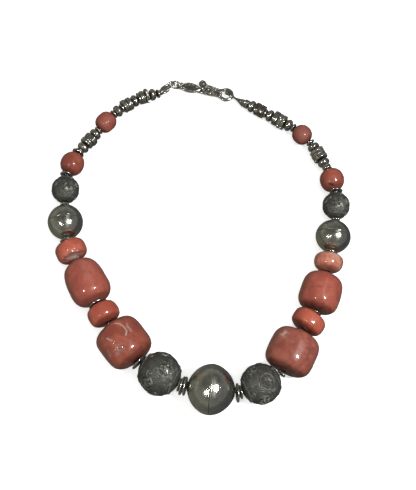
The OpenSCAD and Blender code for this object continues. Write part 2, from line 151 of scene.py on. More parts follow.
CENTRE_ROW = Row("centre_bead", Kind.CENTRE, "", 0, RESTS, 23.5, 22.5, 1.85)
RIGHT_ROWS: tuple[Row, ...] = (
    Row("front_filigree", Kind.FILIGREE, "washer plate", 24, RESTS, 19, 18.5),
    Row("front_barrel", Kind.BARREL, "seed", 64, RESTS, 23, 20.2, 3.7),
    Row("front_rondelle", Kind.RONDELLE, "seed", 56, HANGS, 16.2, 9.5, 3.1),
    Row("side_barrel", Kind.BARREL, "plate", 71, RESTS, 19.8, 19, 3.5, -0.03),
    Row("side_rondelle", Kind.RONDELLE, "seed", 78, HANGS, 14.2, 9.5, 2.6, 0.06),
    Row("silver_ball", Kind.SILVER, "plate", 78, RESTS, 17.3, 16.5),
    Row("side_filigree", Kind.FILIGREE, "seed", 86, RESTS, 13.6, 14),
    Row("round_coral", Kind.CORAL, "plate", 105, RESTS, 12.3, 12),
    Row("", Kind.BALL, "ring ring", 117, 4.6),
    Row("", Kind.BALL, "gear gear gear", 120, 4.4),
    Row("small_coral", Kind.CORAL, "ring", 135, RESTS, 10.2, 10.2),
    Row("", Kind.BALL, "ring", 148, 4.4),
    Row("", Kind.BALL, "gear gear block", 149, 3.8),
    Row("", Kind.BALL, "ring tile tile", 148, 3.4),
    Row("end_eye", Kind.END, "ring ring", 146, CLASP_Z, 4.1, 6.1),
)
LEFT_ROWS: tuple[Row, ...] = (
    Row("front_filigree", Kind.FILIGREE, "washer washer plate", 151, RESTS, 20.2, 19.8),
    Row("front_barrel", Kind.BARREL, "washer", 128, RESTS, 23.2, 21, 3.6),
    Row("front_rondelle", Kind.RONDELLE, "seed", 121, HANGS, 15.4, 10.2, 3),
    Row("side_barrel", Kind.BARREL, "washer", 118, RESTS, 19.6, 23, 3, -0.06),
    Row("side_rondelle", Kind.RONDELLE, "seed", 116, HANGS, 15.6, 10.4, 2.9),
    Row("silver_ball", Kind.SILVER, "plate", 96, RESTS, 17.4, 17.8),
    Row("side_filigree", Kind.FILIGREE, "seed", 91, RESTS, 13.8, 14.8),
    Row("round_coral", Kind.CORAL, "plate", 68, RESTS, 12, 12.2),
    Row("", Kind.BALL, "plate ring", 53, 4.8),
    Row("", Kind.BALL, "disc block", 52, 4.6),
    Row("small_coral", Kind.CORAL, "ring", 52, RESTS, 10.3, 10.5, 2.5),
    Row("", Kind.BALL, "ring", 42, 4.6),
    Row("", Kind.BALL, "ring disc disc", 32, 3.9),
    Row("", Kind.BALL, "plate disc gear", 16, 3.4),
    Row("end_loop", Kind.END, "ring", 42, CLASP_Z, 3, 2),
)


def columns(*parts: object) -> np.ndarray:
    """Coordinates set side by side, where a single number stands for a whole column."""
    return np.stack(np.broadcast_arrays(*parts), axis=-1)


def lap(count: int) -> np.ndarray:
    """Even angles once round."""
    return 2 * math.pi * np.arange(count) / count


def bell(values: np.ndarray, width: float) -> np.ndarray:
    """Smooth bump of height 1 where the value is 0."""
    return np.exp(-((values / width) ** 2))


def step(values: np.ndarray, low: float, high: float) -> np.ndarray:
    """Smooth step from 0 at low to 1 at high."""
    t = np.clip((values - low) / (high - low), 0, 1)
    return t * t * (3 - 2 * t)


def wave_field(points: np.ndarray, seed: int, size: float, octaves: int = 3) -> np.ndarray:
    """Smooth seeded noise in space, between about -1 and 1.

    Args:
        points: Points in millimetres.
        seed: Seed of the noise.
        size: Width of its largest swells, in millimetres.
        octaves: Number of ever finer layers.

    Returns:
        One value for each point.
    """
    rng = np.random.default_rng(seed)
    total = np.zeros(len(points))
    for octave in range(octaves):
        ways = rng.normal(size=(WAVES, 3))
        ways *= (2 * math.pi / size * 2**octave) / np.linalg.norm(ways, axis=1, keepdims=True)
        total += np.cos(points @ ways.T + rng.uniform(0, 2 * math.pi, WAVES)).mean(axis=1) * WAVE_GAIN / 2**octave
    return total


def turn(axis: str, degrees: float) -> np.ndarray:
    """Matrix of a turn about one axis."""
    c, s = math.cos(math.radians(degrees)), math.sin(math.radians(degrees))
    return np.array({"x": [[1, 0, 0], [0, c, -s], [0, s, c]],
                     "y": [[c, 0, s], [0, 1, 0], [-s, 0, c]],
                     "z": [[c, -s, 0], [s, c, 0], [0, 0, 1]]}[axis])


def flat(heading: float) -> np.ndarray:
    """Unit vector in the plane at a heading in degrees."""
    return np.array([math.cos(math.radians(heading)), math.sin(math.radians(heading))])


@dataclass(frozen=True)
class Place:
    """Where an item sits: its middle in millimetres, with the heading and pitch of its hole in degrees."""

    middle: Point
    heading: float
    pitch: float = 0.0

    def direction(self) -> np.ndarray:
        """Unit vector of the hole, away from the centre bead."""
        ahead = flat(self.heading) * math.cos(math.radians(self.pitch))
        return np.array([*ahead, math.sin(math.radians(self.pitch))])


@dataclass(frozen=True)
class Item:
    """One strung item with its own sizes in millimetres."""

    name: str
    kind: Kind
    diameter: float
    length: float
    heading: float
    height: float
    squareness: float
    taper: float = 0

    def proud(self) -> float:
        """How far the ornament stands out of the bead's round body."""
        if self.kind is Kind.FILIGREE:
            return self.diameter / 2 * GRAIN_SHARE
        return SEAM_WIRE_R / 2 if self.kind in (Kind.CENTRE, Kind.SILVER) else 0.0

    def reach(self, along: float) -> float:
        """How far the bead reaches in a direction.

        Args:
            along: Cosine between that direction and the bead's axis.

        Returns:
            The distance in millimetres.
        """
        power = self.squareness / (self.squareness - 1) if self.squareness < CYLINDER_SQUARENESS else 1.0
        across = math.sqrt(max(0.0, 1 - along * along))
        radius = self.diameter / 2 * (1 + abs(self.taper))
        return ((radius * across) ** power + (self.length / 2 * abs(along)) ** power) ** (1 / power)

    def outline(self) -> np.ndarray:
        """Fine outline from pole to pole, as pairs of radius and height."""
        t = np.linspace(0, math.pi, OUTLINE_POINTS)
        z = -np.sign(np.cos(t)) * np.abs(np.cos(t)) ** (2 / self.squareness)
        r = self.diameter / 2 * np.sin(t) ** (2 / self.squareness) * (1 + self.taper * z)
        return columns(r, self.length / 2 * z)


def gap_between(first: Item, second: Item) -> float:
    """Room that two tilted neighbours need along the thread, in millimetres."""
    meeting = min(KIND_SIZES[first.kind].meeting, KIND_SIZES[second.kind].meeting)
    room = END_ROOM if second.kind is Kind.END else 0.0
    return BEAD_GAP + room + 2 * meeting * math.tan(math.radians(abs(second.heading - first.heading) / 2))


@dataclass
class Strand:
    """One half of the necklace, strung from the centre bead to its end piece."""

    side: str
    rows: Sequence[Row]
    start_heading: float
    origin: np.ndarray
    items: list[Item] = field(init=False)
    places: list[Place] = field(init=False)

    def __post_init__(self) -> None:
        """Strings the items and lays them on the surface."""
        centre = CENTRE_ROW
        self.items = [Item(centre.name, centre.kind, centre.diameter, centre.length, self.start_heading,
                           centre.height, centre.squareness)]
        for row in self.rows:
            self._string(row)
        self.places = self._laid()

    def _string(self, row: Row) -> None:
        """Strings a bead after its spacers, which turn evenly between it and the bead before."""
        before = self.items[-1].heading
        kinds = [Kind(word) for word in row.spacers.split()]
        for k, kind in enumerate(kinds):
            size = KIND_SIZES[kind]
            heading = before + (row.heading - before) * (k + 1) / (len(kinds) + 1)
            self.items.append(Item("", kind, size.diameter, size.length, heading, HANGS, size.squareness))
        size = KIND_SIZES[row.kind]
        self.items.append(Item(
            f"{self.side}_{row.name}" if row.name else "", row.kind, row.diameter or size.diameter,
            row.length or size.length, row.heading, row.height, row.squareness or size.squareness, row.taper))

    def _laid(self) -> list[Place]:
        """Place of every item, from the held heights and the headings."""
        items = self.items
        arcs = [0.0]
        for a, b in zip(items, items[1:]):
            arcs.append(arcs[-1] + a.length / 2 + gap_between(a, b) + b.length / 2)
        held = [(s, it.diameter / 2 + it.proud() if it.height == RESTS else it.height)
                for s, it in zip(arcs, items) if it.height != HANGS]
        heights = np.interp(arcs, [h[0] for h in held], [h[1] for h in held])
        spots: list[Place] = []
        at = self.origin.copy()
        for i, it in enumerate(items):
            j = min(i + 1, len(items) - 1)
            level = i == 0 or it.kind is Kind.END
            pitch = 0.0 if level else math.degrees(math.atan2(heights[j] - heights[i - 1], arcs[j] - arcs[i - 1]))
            half = it.length / 2 * math.cos(math.radians(pitch)) * flat(it.heading)
            if i:
                at = at + half
            z = heights[i]
            if it.kind is not Kind.END:
                z = max(z, it.reach(math.sin(math.radians(pitch))) + it.proud())
            spots.append(Place((float(at[0]), float(at[1]), float(z)), it.heading, pitch))
            if i + 1 < len(items):
                at = at + half + gap_between(it, items[j]) * flat((it.heading + items[j].heading) / 2)
        return spots

    def index(self, name: str) -> int:
        """Number of the named bead on the thread."""
        return [it.name for it in self.items].index(name)

    def find(self, name: str) -> tuple[Item, Place]:
        """The named bead and its place."""
        return self.items[self.index(name)], self.places[self.index(name)]

    def joints(self) -> list[np.ndarray]:
        """Points where the thread passes from one item to the next."""
        middles = [np.array(place.middle) for place in self.places]
        halves = [place.direction() * item.length / 2 for item, place in zip(self.items, self.places)]
        return [(middles[i] + halves[i] + (middles[i + 1] - halves[i + 1])) / 2 for i in range(len(middles) - 1)]


@dataclass
class Shape:
    """A mesh in the making: points in millimetres, faces, and named values for each point."""

    points: np.ndarray
    faces: Faces
    values: dict[str, np.ndarray] = field(default_factory=dict)

    def turned(self, matrix: np.ndarray, shift: Sequence[float] = (0, 0, 0)) -> "Shape":
        """This shape turned by a matrix and then moved."""
        return Shape(self.points @ matrix.T + np.array(shift, float), self.faces, self.values)

    def moved(self, *shift: float) -> "Shape":
        """This shape moved."""
        return self.turned(np.eye(3), shift)

    def carried(self, place: Place) -> "Shape":
        """This shape, modelled along +Z, at a place on the strand."""
        return self.turned(turn("z", place.heading) @ turn("y", 90 - place.pitch), place.middle)

    def marked(self, **values: float) -> "Shape":
        """This shape with each named value set to one number on all its points."""
        marks = {name: np.full(len(self.points), value) for name, value in values.items()}
        return Shape(self.points, self.faces, {**self.values, **marks})

    @staticmethod
    def joined(shapes: Sequence["Shape"]) -> "Shape":
        """One shape from several, whose missing values are 0."""
        faces: Faces = []
        start = 0
        for shape in shapes:
            faces.extend(tuple(i + start for i in face) for face in shape.faces)
            start += len(shape.points)
        values = {
            name: np.concatenate([shape.values.get(name, np.zeros(len(shape.points))) for shape in shapes])
            for name in {name for shape in shapes for name in shape.values}
        }
        return Shape(np.concatenate([shape.points for shape in shapes]), faces, values)

    @staticmethod
    def of_mesh(mesh: bpy.types.Mesh) -> "Shape":
        """A shape from a mesh whose coordinates are millimetres."""
        points = np.empty(len(mesh.vertices) * 3)
        mesh.vertices.foreach_get("co", points)
        return Shape(points.reshape(-1, 3), [tuple(p.vertices) for p in mesh.polygons])

    def settle(self, node: str, part: str, slot: str, material: Material, crease: float = 60.0) -> None:
        """Makes the finished piece in metres, ties it to the frame and reports it.

        Args:
            node: The CAD node that the piece stands for.
            part: What the piece is, for its name.
            slot: Name of a material slot; not used.
            material: The material of its only slot.
            crease: Angle in degrees from which an edge stays sharp.
        """
        mesh = bpy.data.meshes.new(f"{node}_{part}")
        mesh.from_pydata((self.points * MM).tolist(), [], self.faces)
        mesh.validate()
        for key, values in self.values.items():
            attribute = mesh.attributes.new(key, "FLOAT", "POINT")
            attribute.data.foreach_set("value", np.asarray(values, np.float32))
        mesh.shade_smooth()
        mesh.set_sharp_from_angle(angle=math.radians(crease))
        mesh.materials.append(material)
        piece = bpy.data.objects.new(f"{node}_{part}", mesh)
        bpy.context.scene.collection.objects.link(piece)
        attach(piece, "root")
        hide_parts(node)
        log.info("%s: %d faces", piece.name, len(mesh.polygons))


def grid_faces(rows: int, width: int, closed: bool) -> Faces:
    """Quads of a grid whose columns run round, and whose rows do too if it is closed."""
    i = np.arange(rows if closed else rows - 1)[:, None]
    k = np.arange(width)[None, :]
    j, m = (i + 1) % rows, (k + 1) % width
    quads = np.stack([i * width + k, i * width + m, j * width + m, j * width + k], axis=-1)
    return [tuple(quad) for quad in quads.reshape(-1, 4).tolist()]


def capped(rows: Sequence[np.ndarray], ends: Sequence[np.ndarray]) -> Shape:
    """Joins rings of points to a closed shape with a point at each end."""
    sides, start = len(rows[0]), len(rows) * len(rows[0])
    last = start - sides
    faces = grid_faces(len(rows), sides, False)
    faces += [(start, (k + 1) % sides, k) for k in range(sides)]
    faces += [(start + 1, last + k, last + (k + 1) % sides) for k in range(sides)]
    return Shape(np.concatenate([*rows, ends]), faces)


def revolved(profile: np.ndarray, segments: int, swell: np.ndarray | None = None) -> Shape:
    """Turns a closed profile about Z.

    Args:
        profile: Pairs of radius and height that run up the outside and down the inside.
        segments: Number of segments round the axis.
        swell: Factor on the radius, for each profile point and segment.

    Returns:
        The closed shape.
    """
    angle = lap(segments)
    radius = profile[:, 0][:, None] * (np.ones(segments) if swell is None else swell)
    points = columns(radius * np.cos(angle), radius * np.sin(angle), profile[:, 1][:, None]).reshape(-1, 3)
    return Shape(points, grid_faces(len(profile), segments, True))


def tube(path: np.ndarray, radius: float | np.ndarray, sides: int = 14) -> Shape:
    """Sweeps a round wire along an open path.

    Args:
        path: Points of the middle line.
        radius: Radius of the wire, or one for each point.
        sides: Number of sides round it.

    Returns:
        The closed shape, with softly domed ends.
    """
    radii = np.broadcast_to(np.asarray(radius, float), (len(path),))
    ahead = np.gradient(path, axis=0)
    ahead /= np.linalg.norm(ahead, axis=1, keepdims=True)
    side = np.cross(ahead[0], (0, 0, 1) if abs(ahead[0][2]) < 0.9 else (1, 0, 0))
    rings = []
    angle = lap(sides)
    for at, way, wide in zip(path, ahead, radii):
        side = side - way * (side @ way)
        side /= np.linalg.norm(side)
        rings.append(at + wide * (np.cos(angle)[:, None] * side + np.sin(angle)[:, None] * np.cross(way, side)))
    return capped(rings, [path[0] - ahead[0] * radii[0] * 0.45, path[-1] + ahead[-1] * radii[-1] * 0.45])


def ball(radius: float, level: int, centre: Sequence[float] = (0, 0, 0)) -> Shape:
    """A round ball of even triangles."""
    form = bmesh.new()
    bmesh.ops.create_icosphere(form, subdivisions=level, radius=radius)
    points = np.array([v.co[:] for v in form.verts]) + np.array(centre, float)
    faces = [tuple(v.index for v in f.verts) for f in form.faces]
    form.free()
    return Shape(points, faces)


def wire_ring(mean: float, radius: float, segments: int, sides: int) -> Shape:
    """A round wire bent to a ring about Z."""
    angle = lap(sides)
    return revolved(columns(mean + radius * np.cos(angle), radius * np.sin(angle)), segments)


@dataclass
class Lathed:
    """A drilled bead turned about Z, ready to be worked.

    Its outline runs from the lower pole to the upper one. The hole has the radius bore, and mouths rounded by lip.
    The outside has the given rows, which lie 1 + focus times closer at height 0 and less so up to about reach.
    """

    outline: np.ndarray
    bore: float
    lip: float
    rows: int
    segments: int
    focus: float = 0.0
    reach: float = 0.7

    def __post_init__(self) -> None:
        """Drills the outline, turns it and finds its normals."""
        profile = self._profile()
        self.shape = revolved(profile, self.segments)
        self.points = self.shape.points
        self.outside = np.repeat(np.arange(len(profile)) < self.rows, self.segments)
        self.radial = np.linalg.norm(self.points[:, :2], axis=1)
        way = np.roll(profile, -1, 0) - np.roll(profile, 1, 0)
        way /= np.maximum(np.linalg.norm(way, axis=1, keepdims=True), 1e-9)
        angle = lap(self.segments)
        out, up = way[:, 1][:, None], -way[:, 0][:, None]
        self.normals = columns(out * np.cos(angle), out * np.sin(angle), up).reshape(-1, 3)

    def _profile(self) -> np.ndarray:
        """The outside with rows closer together near height 0, then the mouths and the wall of the hole."""
        bore, lip = self.bore, self.lip
        line = self.outline[self.outline[:, 0] >= bore + lip]
        steps = np.linalg.norm(np.diff(line, axis=0), axis=1)
        middle = (line[1:, 1] + line[:-1, 1]) / 2
        run = np.concatenate([[0], np.cumsum(steps * (1 + self.focus * bell(middle, self.reach)))])
        at = np.linspace(0, run[-1], self.rows)
        outer = columns(np.interp(at, run, line[:, 0]), np.interp(at, run, line[:, 1]))
        low, top = outer[0, 1], outer[-1, 1]
        a = np.linspace(0, math.pi / 2, 6)[1:]
        upper = columns(bore + lip - lip * np.sin(a), top - lip * (1 - np.cos(a)))
        lower = columns(bore + lip - lip * np.sin(a[::-1]), low + lip * (1 - np.cos(a[::-1])))
        return np.concatenate([outer, upper, columns(bore, np.linspace(top - lip, low + lip, 6)[1:-1]), lower])

    def finished(self, moves: np.ndarray, **values: np.ndarray) -> Shape:
        """The bead with its points moved and its values set."""
        return Shape(self.points + moves, self.shape.faces, values)


class Sheet:
    """Short-hand for filling a node tree."""

    def __init__(self, tree: Tree) -> None:
        """Keeps the tree to fill."""
        self.tree = tree

    def feed(self, node: Node, inputs: dict[object, object]) -> None:
        """Sets a node's inputs, by name or number, to values or to the outputs of other nodes."""
        for key, value in inputs.items():
            if isinstance(value, (Socket, list)):
                for source in value if isinstance(value, list) else [value]:
                    self.tree.links.new(source, node.inputs[key])
            elif isinstance(value, tuple) and node.inputs[key].type == "RGBA":
                node.inputs[key].default_value = (*value, 1.0)
            else:
                node.inputs[key].default_value = value

    def add(self, kind: str, inputs: dict[object, object] | None = None, **settings: object) -> Sockets:
        """Adds one node.

        Args:
            kind: Type name of the node.
            inputs: A value, another node's output or a list of them for each input.
            settings: The node's own properties.

        Returns:
            The node's outputs.
        """
        node = self.tree.nodes.new(kind)
        for key, value in settings.items():
            setattr(node, key, value)
        self.feed(node, inputs or {})
        return node.outputs

    def geo(self, kind: str, inputs: dict[object, object] | None = None, **settings: object) -> Socket:
        """Output of a geometry node."""
        return self.add(f"GeometryNode{kind}", inputs, **settings)[0]

    def maths(self, operation: str, first: object, second: object = 0.0, third: object = 0.0) -> Socket:
        """Output of a Math node."""
        return self.add("ShaderNodeMath", {0: first, 1: second, 2: third}, operation=operation)[0]

    def times(self, first: object, second: object) -> Socket:
        """Product of two numbers."""
        return self.maths("MULTIPLY", first, second)

    def less(self, first: object, second: object) -> Socket:
        """Difference of two numbers."""
        return self.maths("SUBTRACT", first, second)

    def vector(self, *parts: object) -> Socket:
        """Three numbers as a vector."""
        return self.add("ShaderNodeCombineXYZ", dict(enumerate(parts)))[0]

    def scaled(self, vector: object, scale: object) -> Socket:
        """A vector times a number."""
        return self.add("ShaderNodeVectorMath", {0: vector, "Scale": scale}, operation="SCALE")[0]

    def round_spot(self, radius: object, angle: object) -> Socket:
        """Point of a circle about Z."""
        return self.vector(self.times(radius, self.maths("COSINE", angle)),
                           self.times(radius, self.maths("SINE", angle)), 0.0)

    def blend(self, share: object, first: object, second: object) -> Socket:
        """Output of a colour Mix node."""
        return self.add("ShaderNodeMix", {0: share, 6: first, 7: second}, data_type="RGBA")[2]

    def between(self, share: object, first: object, second: object) -> Socket:
        """Output of a number Mix node."""
        return self.add("ShaderNodeMix", {0: share, 2: first, 3: second}, data_type="FLOAT")[0]

    def ramp(self, value: object, low: float, high: float) -> Socket:
        """0 below low and 1 above high, smooth between them."""
        return self.add("ShaderNodeMapRange", {0: value, 1: low, 2: high, 3: 0.0, 4: 1.0},
                        interpolation_type="SMOOTHSTEP")[0]

    def noise(self, vector: object, scale: object, detail: float = 3.0, distortion: float = 0.0) -> Socket:
        """Value of a Noise Texture."""
        return self.add("ShaderNodeTexNoise",
                        {"Vector": vector, "Scale": scale, "Detail": detail, "Distortion": distortion})[0]

    def mapped(self, vector: object, scale: Point, rotation: Point = (0.0, 0.0, 0.0)) -> Socket:
        """A vector turned and stretched."""
        return self.add("ShaderNodeMapping", {"Vector": vector, "Rotation": rotation, "Scale": scale})[0]

    def mark(self, name: str) -> Socket:
        """A named value of the mesh."""
        return self.add("ShaderNodeAttribute", attribute_name=name)["Fac"]

    def spot(self) -> Socket:
        """Object coordinates."""
        return self.add("ShaderNodeTexCoord")["Object"]

    def bump(self, height: object, strength: float, distance: float) -> Socket:
        """Normal of a Bump node."""
        return self.add("ShaderNodeBump", {"Height": height, "Strength": strength, "Distance": distance})[0]

    def group(self, tree: Tree, inputs: dict[object, object]) -> Sockets:
        """Outputs of a shader group."""
        return self.add("ShaderNodeGroup", inputs, node_tree=tree)


SOCKETS = {int: "NodeSocketInt", float: "NodeSocketFloat", tuple: "NodeSocketColor"}


def new_group(name: str, kind: str, inputs: dict[str, object], outputs: dict[str, str],
              draw: Callable[[Sheet, Sockets], Sequence[Socket]]) -> Tree:
    """Builds a node group with named sockets.

    Args:
        name: Name of the group.
        kind: Type of the tree.
        inputs: The usual value of each input, or the socket type where it has none.
        outputs: Socket type of each output.
        draw: Fills the group from its inputs and returns what each output gives.

    Returns:
        The group.
    """
    tree = bpy.data.node_groups.new(name, kind)
    for key, value in inputs.items():
        socket = value if isinstance(value, str) else SOCKETS[type(value)]
        made = tree.interface.new_socket(key, in_out="INPUT", socket_type=socket)
        if not isinstance(value, str):
            made.default_value = value
    for key, socket in outputs.items():
        tree.interface.new_socket(key, in_out="OUTPUT", socket_type=socket)
    sheet = Sheet(tree)
    given = sheet.add("NodeGroupInput")
    end = tree.nodes.new("NodeGroupOutput")
    sheet.feed(end, dict(enumerate(draw(sheet, given))))
    return tree


def grown(tree: Tree, values: dict[str, object], path: np.ndarray | None = None,
          closed: bool = False) -> Shape:
    """Runs a geometry node tree and keeps its result as a plain shape.

    Args:
        tree: The tree.
        values: A value for each named input.
        path: Points in millimetres of the line that the tree follows.
        closed: Whether that line is a loop.

    Returns:
        The grown shape in millimetres.
    """
    base = bpy.data.meshes.new("growth_line")
    if path is not None:
        last = len(path) - 1
        edges = [(i, i + 1) for i in range(last)] + ([(last, 0)] if closed else [])
        base.from_pydata(path.tolist(), edges, [])
    holder = bpy.data.objects.new("growth_holder", base)
    bpy.context.scene.collection.objects.link(holder)
    modifier = holder.modifiers.new("growth", "NODES")
    modifier.node_group = tree
    for socket in tree.interface.items_tree:
        if socket.item_type == "SOCKET" and socket.in_out == "INPUT" and socket.name in values:
            modifier[socket.identifier] = values[socket.name]
    mesh = bpy.data.meshes.new_from_object(holder.evaluated_get(bpy.context.evaluated_depsgraph_get()))
    shape = Shape.of_mesh(mesh)
    holder.modifiers.remove(modifier)
    bpy.data.objects.remove(holder)
    bpy.data.meshes.remove(mesh)
    bpy.data.meshes.remove(base)
    return shape


class Growths:
    """The geometry node trees for what repeats or follows a path."""

    def __init__(self) -> None:
        """Builds each tree once."""
        self.medallions = self._tree("wire_medallions", self._medallions, {
            "Count": 6, "Ball Radius": 10.0, "Medallion Radius": 4.0, "Wire Radius": 0.25, "Curls": 4,
            "Grain Radius": 0.3, "Grain Count": 20, "First Angle": 0.0, "Latitude": 0.0, "Stagger": 0.0})
        self.rope = self._tree("laid_rope", self._rope, {
            "Strands": 2, "Strand Radius": 0.2, "Offset": 0.2, "Turns per mm": 0.5, "Step": 0.15})
        self.coil = self._tree("wound_coil", self._coil, {
            "Turns": 4.0, "Coil Radius": 1.3, "Length": 3.6, "Wire Radius": 0.4})
        self.grains = self._tree("grain_ring", self._grains, {
            "Count": 9, "Ring Radius": 1.6, "Grain Radius": 0.6})

    @staticmethod
    def _tree(name: str, draw: Callable, inputs: dict[str, object]) -> Tree:
        """A tree that ends in Realize Instances and Set Material."""
        def whole(sheet: Sheet, given: Sockets) -> list[Socket]:
            """Draws the tree and ends it."""
            real = sheet.geo("RealizeInstances", {0: draw(sheet, given)})
            return [sheet.geo("SetMaterial", {"Geometry": real, "Material": given["Material"]})]

        return new_group(name, "GeometryNodeTree",
                         {"Geometry": "NodeSocketGeometry", **inputs, "Material": "NodeSocketMaterial"},
                         {"Geometry": "NodeSocketGeometry"}, whole)

    @staticmethod
    def _medallions(sheet: Sheet, given: Sockets) -> Socket:
        """Wire medallions round a ball: two rims, a middle ring, curls, a ring of grains and a middle grain."""
        wide = given["Medallion Radius"]
        index = sheet.geo("InputIndex")
        angle = sheet.maths("MULTIPLY_ADD", index, sheet.maths("DIVIDE", 2 * math.pi, given["Count"]),
                            given["First Angle"])
        odd = sheet.maths("MULTIPLY_ADD", sheet.maths("MODULO", index, 2.0), -2.0, 1.0)
        latitude = sheet.maths("MULTIPLY_ADD", odd, given["Stagger"], given["Latitude"])
        level = sheet.maths("COSINE", latitude)
        way = sheet.vector(sheet.times(level, sheet.maths("COSINE", angle)),
                           sheet.times(level, sheet.maths("SINE", angle)), sheet.maths("SINE", latitude))
        facing = sheet.vector(0.0, sheet.less(math.pi / 2, latitude), angle)
        spots = sheet.geo("Points", {"Count": given["Count"], "Position": sheet.scaled(way, given["Ball Radius"])})

        drawn = [sheet.geo("CurvePrimitiveCircle", {"Resolution": count, "Radius": sheet.times(wide, share)})
                 for share, count in ((1.0, 40), (0.86, 36), (0.14, 10))]
        curl = sheet.geo("CurveSpiral", {
            "Resolution": 14, "Rotations": 1.9, "Start Radius": sheet.times(wide, 0.05),
            "End Radius": sheet.times(wide, 0.34), "Height": 0.0})
        round_it = sheet.maths("DIVIDE", sheet.times(index, 2 * math.pi), given["Curls"])
        curl_way = sheet.vector(sheet.maths("COSINE", round_it), sheet.maths("SINE", round_it), 0.0)
        curl_spots = sheet.geo("Points", {
            "Count": given["Curls"], "Position": sheet.scaled(curl_way, sheet.times(wide, 0.47))})
        drawn.append(sheet.geo("InstanceOnPoints", {
            "Points": curl_spots, "Instance": curl, "Rotation": sheet.vector(0.0, 0.0, round_it)}))
        unit = sheet.add("ShaderNodeVectorMath", {0: sheet.geo("InputPosition")}, operation="NORMALIZE")[0]
        on_ball = sheet.scaled(unit, given["Ball Radius"])

        def seated(form: Socket) -> Socket:
            """The form repeated at every medallion and bent to the ball."""
            placed = sheet.geo("InstanceOnPoints", {"Points": spots, "Instance": form, "Rotation": facing})
            return sheet.geo("SetPosition", {
                "Geometry": sheet.geo("RealizeInstances", {0: placed}), "Position": on_ball})

        section = sheet.geo("CurvePrimitiveCircle", {"Resolution": 6, "Radius": given["Wire Radius"]})
        wires = sheet.geo("CurveToMesh", {
            "Curve": seated(sheet.geo("JoinGeometry", {0: drawn})), "Profile Curve": section})
        ring = sheet.geo("CurvePrimitiveCircle", {
            "Resolution": given["Grain Count"], "Radius": sheet.times(wide, 0.93)})
        dots = sheet.geo("CurveToPoints", {"Curve": ring, "Count": given["Grain Count"]}, mode="COUNT")
        beads = sheet.geo("JoinGeometry", {0: [dots, sheet.geo("Points", {"Count": 1})]})
        grain = sheet.geo("MeshIcoSphere", {"Radius": given["Grain Radius"], "Subdivisions": 1})
        grains = sheet.geo("InstanceOnPoints", {"Points": seated(beads), "Instance": grain})
        return sheet.geo("JoinGeometry", {0: [wires, grains]})

    @staticmethod
    def _rope(sheet: Sheet, given: Sockets) -> Socket:
        """Strands laid round each other along a line."""
        line = sheet.geo("MeshToCurve", {0: given["Geometry"]})
        even = sheet.geo("ResampleCurve", {"Curve": line, "Length": given["Step"]}, mode="LENGTH")
        run = sheet.add("GeometryNodeSplineParameter")["Length"]
        tilt = sheet.times(sheet.times(run, given["Turns per mm"]), 2 * math.pi)
        twisted = sheet.geo("SetCurveTilt", {"Curve": even, "Tilt": tilt})
        strand = sheet.geo("CurvePrimitiveCircle", {"Resolution": 7, "Radius": given["Strand Radius"]})
        angle = sheet.maths("DIVIDE", sheet.times(sheet.geo("InputIndex"), 2 * math.pi), given["Strands"])
        spots = sheet.geo("Points", {
            "Count": given["Strands"], "Position": sheet.round_spot(given["Offset"], angle)})
        section = sheet.geo("RealizeInstances", {
            0: sheet.geo("InstanceOnPoints", {"Points": spots, "Instance": strand})})
        return sheet.geo("CurveToMesh", {"Curve": twisted, "Profile Curve": section, "Fill Caps": True})

    @staticmethod
    def _coil(sheet: Sheet, given: Sockets) -> Socket:
        """Wire wound round a rod along +Z."""
        spiral = sheet.geo("CurveSpiral", {
            "Resolution": 40, "Rotations": given["Turns"], "Start Radius": given["Coil Radius"],
            "End Radius": given["Coil Radius"], "Height": given["Length"]})
        section = sheet.geo("CurvePrimitiveCircle", {"Resolution": 12, "Radius": given["Wire Radius"]})
        return sheet.geo("CurveToMesh", {"Curve": spiral, "Profile Curve": section, "Fill Caps": True})

    @staticmethod
    def _grains(sheet: Sheet, given: Sockets) -> Socket:
        """Grains set in a ring about Z."""
        ring = sheet.geo("CurvePrimitiveCircle", {"Resolution": given["Count"], "Radius": given["Ring Radius"]})
        dots = sheet.geo("CurveToPoints", {"Curve": ring, "Count": given["Count"]}, mode="COUNT")
        grain = sheet.geo("MeshIcoSphere", {"Radius": given["Grain Radius"], "Subdivisions": 2})
        return sheet.geo("InstanceOnPoints", {"Points": dots, "Instance": grain})


